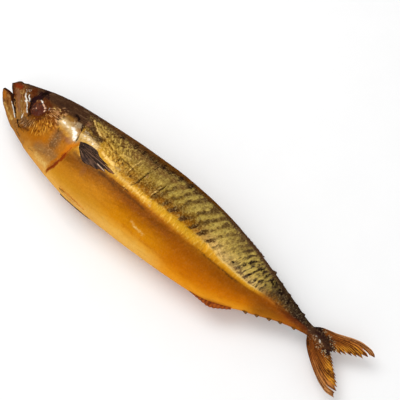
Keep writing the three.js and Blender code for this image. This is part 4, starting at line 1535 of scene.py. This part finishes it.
    def head_colour(self):
        """Colours up the head by height, with another snout and slanting strokes on its plates."""
        along, height = self.along, self.height
        head = self.layers(height + (self.cloud - 0.5) * 6 + (self.blotch - 0.5) * 5, HEAD_COLOURS)
        snout = self.blend(height.step(0, -8), colour(138, 88, 44), colour(160, 112, 56))
        head = self.blend(along.step(38, 26) * 0.7, head, snout)
        slant = self.noise(1.0, stretch=(4, 1, 1.5), turn=0.8)
        plates = along.step(36, 30) * height.step(-10, -6)
        head = self.tint(plates * slant.step(0.5, 0.38) * 0.7, head, colour(140, 100, 80))
        return self.speckle(head, plates, slant, [(0.53, 0.66, 0.4, (214, 170, 106))])

    def with_marks(self, base, kinds, grain, start, end):
        """base with the colours of its marks, whose edges the grain breaks up between start and end."""
        for kind in kinds:
            cover = (self.field(kind) * grain).step(start, end)
            base = self.blend(cover, base, colour(*MARK_COLOURS[kind]))
        return base

    def with_wrinkles(self, base):
        """base with painted shade in the wrinkles' troughs and painted light on their crests, both redder
        above the eye.
        """
        upper = (self.up + self.right * 0.2).step(-3, 6)
        crest_light = self.blend(upper, colour(226, 160, 58), colour(226, 168, 116))
        trough_shade = self.blend(upper, colour(106, 52, 8), colour(76, 36, 18))
        base = self.blend(self.wrinkles * self.pucker.step(0.49, 0.39) * 0.9, base, trough_shade)
        return self.blend(self.wrinkles * self.pucker.step(0.52, 0.64) * 0.85, base, crest_light)

    def with_grit(self, base):
        """base with dark grit and painted glints, most of them where the upper flank is rough."""
        grit = self.noise(1.6, detail=2, roughness=0.7)
        rough_part = (self.layer.step(0.6, 1.1) * self.trunk * 0.8 + 0.15) * (1.0 - self.over * 0.7)
        rough_part = rough_part * (1.0 - self.netted * 0.5) * (1.0 - self.along.step(258, 274) * 0.5)
        base = self.tint(self.streak.step(0.45, 0.7) * 0.15, base, colour(196, 164, 120))
        base = self.tint(self.fleck.step(0.5, 0.66) * rough_part * 0.5, base, colour(170, 138, 100))
        base = self.tint(grit.step(0.5, 0.36) * rough_part * 0.5, base, colour(170, 136, 100))
        # The glints are painted highlights.
        glint = self.fleck.step(0.47, 0.34).highest(grit.step(0.56, 0.68)) * rough_part
        return self.blend(glint * 0.2, base, colour(250, 214, 130))

    def with_speckles(self, base):
        """base with dark and light speckles: on mottled places, on the creases as painted shade and painted
        light, on the scaly shoulder, whose light speckles are painted glints, and on the nape.
        """
        scaly = self.noise(1.4, stretch=(2.2, 1, 1.5), turn=0.9)
        shoulder = self.trunk * self.along.step(132, 108) * self.layer.step(0.7, 1.0)
        shoulder = shoulder * self.layer.step(2.1, 1.9) * (1.0 - self.field("brown"))
        nape = (self.height + self.right * -0.06).step(13, 17) * self.along.step(20, 34)
        nape = nape * self.trunk.step(0.9, 0.2)
        mottle = self.field(MOTTLE)
        places = [
            (mottle, self.fleck, (0.52, 0.62, 0.7, (104, 78, 48)), (0.46, 0.36, 0.6, (232, 208, 164))),
            # On the creases the dark speckles are painted shade in the troughs and the light ones painted
            # light on the crests.
            (self.creases, self.pucker, (0.52, 0.42, 0.8, (66, 38, 26)), (0.54, 0.64, 0.6, (178, 140, 104))),
            # The shoulder's light speckles are painted glints.
            (shoulder, scaly, (0.51, 0.62, 0.45, (96, 66, 20)), (0.49, 0.39, 0.5, (238, 200, 98))),
            (nape, self.streak, (0.54, 0.66, 0.4, (124, 94, 70)), (0.46, 0.36, 0.5, (40, 24, 18))),
        ]
        for area, noise, *tints in places:
            base = self.speckle(base, area, noise, tints)
        return base


def make_skin():
    """Smoked skin: layered colours with stripes, spots, lines and flecks, and painted highlights and painted
    shade, under a thin oily coat.
    """
    shader = SkinShader()
    flank = shader.with_grain(shader.with_stripes(shader.flank_layers()))
    base = shader.blend(shader.trunk, shader.head_colour(), flank)
    grain = (shader.fleck - 0.5) * 2.2 + (shader.blotch - 0.5) * 1.8 + 1.0
    base = shader.with_marks(base, SOFT_MARKS, grain * 0.5 + 0.5, 0.05, 1.0)
    base = shader.with_grit(shader.with_wrinkles(base))
    base = shader.with_marks(shader.with_speckles(base), FINE_MARKS, grain, 0.2, 0.9)
    lining = shader.blend(shader.blotch, colour(56, 26, 18), colour(34, 16, 12))
    base = shader.blend(shader.field("inside").step(0.05, 0.5), base, lining)
    top = shader.layer.step(1.6, 2.0) * shader.trunk
    dull = shader.field("brown").highest(shader.field("dark")).highest(top)
    rough = 0.42 + (shader.blotch - 0.5) * 0.3 + dull * 0.2
    shader.plug(shader.surface.inputs["Metallic"], 0.38 - dull * 0.38)
    shader.plug(shader.surface.inputs["Coat Weight"], 0.04 - dull * 0.04)
    folds = shader.pucker * (shader.wrinkles + shader.creases)
    bumps = [(shader.blotch, 0.34), (shader.upright, 0.2), (shader.fleck, 0.18), (folds, 0.9)]
    return shader.finish(base, rough, bumps)


def make_eye_surface():
    """A dull collapsed eye: dark red-brown, with painted shade in plum at its front under the brow, and
    broken painted highlights at its top.
    """
    shader = Shader("eye", Coat_Weight=0.12, Coat_Roughness=0.2, IOR=1.45, Specular_IOR_Level=0.1,
                    Specular_Tint=GOLDEN)
    across, upward = shader.field("across"), shader.field("upward")
    blotch = shader.noise(2.4, detail=4)
    fleck = shader.noise(0.9)
    base = shader.blend(blotch.step(0.42, 0.58), colour(62, 26, 16), colour(104, 50, 26))
    ruddy = (across - upward * 0.4 + (blotch - 0.5) * 2.0).step(-0.3, 0.3)
    base = shader.blend(ruddy * 0.9, base, colour(78, 24, 10))
    brownish = (upward + across * 0.5 + (blotch - 0.5) * 2.4).step(0.5, 0.9)
    base = shader.blend(brownish * 0.8, base, colour(86, 50, 26))
    # Plum at the eye's front is painted shade under the brow.
    plum = (shader.field("plum") + (fleck - 0.5) * 0.9).step(0.3, 0.7)
    base = shader.blend(plum, base, colour(38, 18, 22))
    base = shader.blend(fleck.step(0.56, 0.66) * 0.25, base, colour(130, 98, 70))
    film = (shader.field("film") + (fleck - 0.5) * 1.2).step(0.3, 0.7)
    base = shader.blend(film, base, colour(226, 178, 144))
    rough = 0.35 + (fleck - 0.5) * 0.3
    return shader.finish(base, rough, [(blotch, 0.7), (fleck, 0.2)])


# Fin surfaces: the colour between the rays, on them, where the fin fades and of its flesh, and how strong
# the dark between the rays is.
FIN_COLOURS = {
    "tail_fin": [(92, 44, 12), (194, 114, 38), (224, 150, 44), (46, 22, 19), 0.8],
    "dark_fin": [(46, 32, 24), (108, 78, 60), (142, 92, 56), (84, 64, 40), 0.3],
    "finlet": [(88, 54, 20), (152, 98, 40), (140, 96, 44), (152, 98, 40), 0.2],
    "red_fin": [(116, 52, 18), (168, 86, 28), (196, 116, 52), (176, 96, 24), 0.2],
    "belly_fin": [(206, 142, 52), (232, 174, 82), (226, 166, 76), (218, 154, 60), 0.2],
}


def make_fin_surface(name):
    """Fin membrane: streaks that run out along the rays, another colour where it fades, and flesh at the
    root."""
    shader = Shader(name, Coat_Weight=0.06, Coat_Roughness=0.3, IOR=1.45, Specular_IOR_Level=0.06,
                    Specular_Tint=GOLDEN)
    *tints, rib = FIN_COLOURS[name]
    deep, pale, edge, flesh = (colour(*tint) for tint in tints)
    ray, reach, rays, bright = (shader.field(key) for key in ("ray", "reach", "rays", "bright"))
    blotch = shader.noise(3.4, detail=4)
    fleck = shader.noise(1.1)
    fan = shader.add("ShaderNodeCombineXYZ", {}, {"X": ray * rays * 1.3, "Y": reach * 2.2})
    streak = shader.texture(fan, detail=4.0, roughness=0.7)
    wave = (ray * rays * (2 * math.pi) + (streak - 0.5) * 5).math("COSINE")
    pale_share = streak + wave * 0.06 + (fleck - 0.5) * 0.2 + bright * 0.06
    # The lighter leading edge is a painted highlight.
    light = shader.blend(bright * 0.6, pale, colour(204, 152, 100))
    warmth = shader.field("warm") * (blotch.step(0.35, 0.55) * 0.5 + 0.4)
    light = shader.blend(warmth, light, colour(158, 82, 28))
    faded = (shader.field("fade") + (streak - 0.5) * 1.2).step(0.3, 0.9)
    light = shader.blend(faded * 0.8, light, edge)
    base = shader.blend(pale_share.step(0.44, 0.56), deep, light)
    base = shader.blend((wave * -0.4 + (streak - 0.5) * 3.0).step(0.2, 0.7) * rib, base, deep)
    base = shader.blend(reach.step(0.9, 1.0) * streak.step(0.44, 0.52) * rib, base, deep)
    fleshy = shader.field("flesh") + (blotch - 0.5) * 0.9
    base = shader.blend((fleshy + (fleck - 0.5) * 1.2).step(0.45, 0.7), base, flesh)
    # Light specks on the tail's fleshy root are painted highlights.
    speck = fleck.step(0.54, 0.62) * fleshy.step(0.25, 0.5) * fleshy.step(1.04, 0.76)
    base = shader.blend(speck * 0.85, base, colour(214, 184, 140))
    gloomy = shader.field(GLOOM) * (blotch.step(0.35, 0.55) * 0.5 + 0.45)
    base = shader.blend(gloomy, base, colour(26, 20, 25))
    # The fins' light places are painted highlights.
    gleam = (shader.field(GLEAM) + (fleck - 0.5) * 0.8).step(0.4, 0.8)
    base = shader.blend(gleam, base, colour(216, 184, 154))
    rough = 0.45 + (streak - 0.5) * 0.3
    return shader.finish(base, rough, [(wave, 0.15), (streak, 0.5)])


def make_floor_surface():
    """Matt white board with the faintest grain."""
    shader = Shader("floor", IOR=1.3)
    grain = shader.noise(30, detail=4)
    base = shader.blend(grain, colour(250, 250, 250), colour(254, 254, 254))
    return shader.finish(base, 0.9 + (grain - 0.5) * 0.05, [(grain, 0.05)])


# ---------------------------------------------------------------- stage

# Where the camera looks, in the fish's own millimetres, and how it stands.
AIM = (168.765, 26.614, 18.0)
CAMERA = {"azimuth": 38.954, "elevation": 65.0, "distance": 665.24, "lens": 85.0, "sensor": 36.0}


def make_stage(floor_surface):
    """A square floor that fills every view."""
    mesh = bpy.data.meshes.new("floor")
    reach = 3.0
    corners = [(-reach, -reach, 0), (reach, -reach, 0), (reach, reach, 0), (-reach, reach, 0)]
    mesh.from_pydata(corners, [], [(0, 1, 2, 3)])
    mesh.materials.append(floor_surface)
    floor = bpy.data.objects.new("floor", mesh)
    bpy.context.scene.collection.objects.link(floor)


def add_light(name, place, size, power, target):
    """A square soft light at place, turned to the target."""
    light = bpy.data.lights.new(name, "AREA")
    light.shape = "SQUARE"
    light.size = size
    light.energy = power
    lamp = bpy.data.objects.new(name, light)
    lamp.location = place
    lamp.rotation_euler = (Vector(target) - Vector(place)).to_track_quat("-Z", "Y").to_euler()
    bpy.context.scene.collection.objects.link(lamp)


SKY_STRENGTH = 0.58
# Lights: place and size in metres, and power in watts.
LIGHTS = {
    "key": [(-0.45, 0.1, 0.95), 0.7, 5.0],
    "fill": [(0.3, -0.7, 0.8), 1.2, 3.0],
}


def make_lights():
    """A white sky, a soft key light over the head and a wide, weaker fill over the belly's side."""
    world = bpy.data.worlds.new("studio")
    world.use_nodes = True
    background = world.node_tree.nodes["Background"]
    background.inputs["Color"].default_value = (1, 1, 1, 1)
    background.inputs["Strength"].default_value = SKY_STRENGTH
    bpy.context.scene.world = world
    for name, (place, size, power) in LIGHTS.items():
        add_light(name, place, size, power, (0.0, 0.0, 0.02))


def make_camera():
    """Looks at the aim from the given angles; the view is up to the sky on the picture's vertical."""
    azimuth, elevation = (math.radians(CAMERA[key]) for key in ("azimuth", "elevation"))
    away = Vector((math.sin(azimuth) * math.cos(elevation), -math.cos(azimuth) * math.cos(elevation),
                   math.sin(elevation)))
    camera = bpy.data.cameras.new("camera")
    camera.lens = CAMERA["lens"]
    camera.sensor_width = CAMERA["sensor"]
    viewer = bpy.data.objects.new("camera", camera)
    viewer.location = Vector(placed(np.array(AIM))) + away * CAMERA["distance"] * MM
    viewer.rotation_euler = (-away).to_track_quat("-Z", "Y").to_euler()
    bpy.context.scene.collection.objects.link(viewer)
    bpy.context.scene.camera = viewer


# ---------------------------------------------------------------- assembly

skin_surface = make_skin()
make_body(skin_surface)
make_lower_jaw(skin_surface)
eye_surface = make_eye_surface()
make_eye("left_eye", 1, eye_surface)
make_eye("right_eye", -1, eye_surface)

fin_surfaces = {name: make_fin_surface(name) for name in FIN_COLOURS}
make_tail_lobe("upper_tail_lobe", UPPER_LOBE, fin_surfaces["tail_fin"])
make_tail_lobe("lower_tail_lobe", LOWER_LOBE, fin_surfaces["tail_fin"])
for number, tip in enumerate(FINLET_TIPS, 1):
    make_finlet(f"finlet_{number}", tip, fin_surfaces["dark_fin" if tip[1] > 0 else "finlet"])
for name, fin in MID_FINS.items():
    make_mid_fin(name, fin, fin_surfaces["red_fin" if name == "anal_fin" else "dark_fin"])
make_side_fin("left_pectoral_fin", SIDE_FINS["pectoral_fin"], 1, fin_surfaces["dark_fin"])
make_side_fin("right_pectoral_fin", SIDE_FINS["pectoral_fin"], -1, fin_surfaces["dark_fin"])
make_side_fin("left_pelvic_fin", SIDE_FINS["left_pelvic_fin"], 1, fin_surfaces["belly_fin"])
# The right pelvic fin, pale in life, takes the dark fins' surface as painted shade where it shows under the
# belly.
make_side_fin("right_pelvic_fin", SIDE_FINS["right_pelvic_fin"], -1, fin_surfaces["dark_fin"])

make_stage(make_floor_surface())
make_lights()
make_camera()
bpy.context.scene.view_settings.view_transform = "Standard"
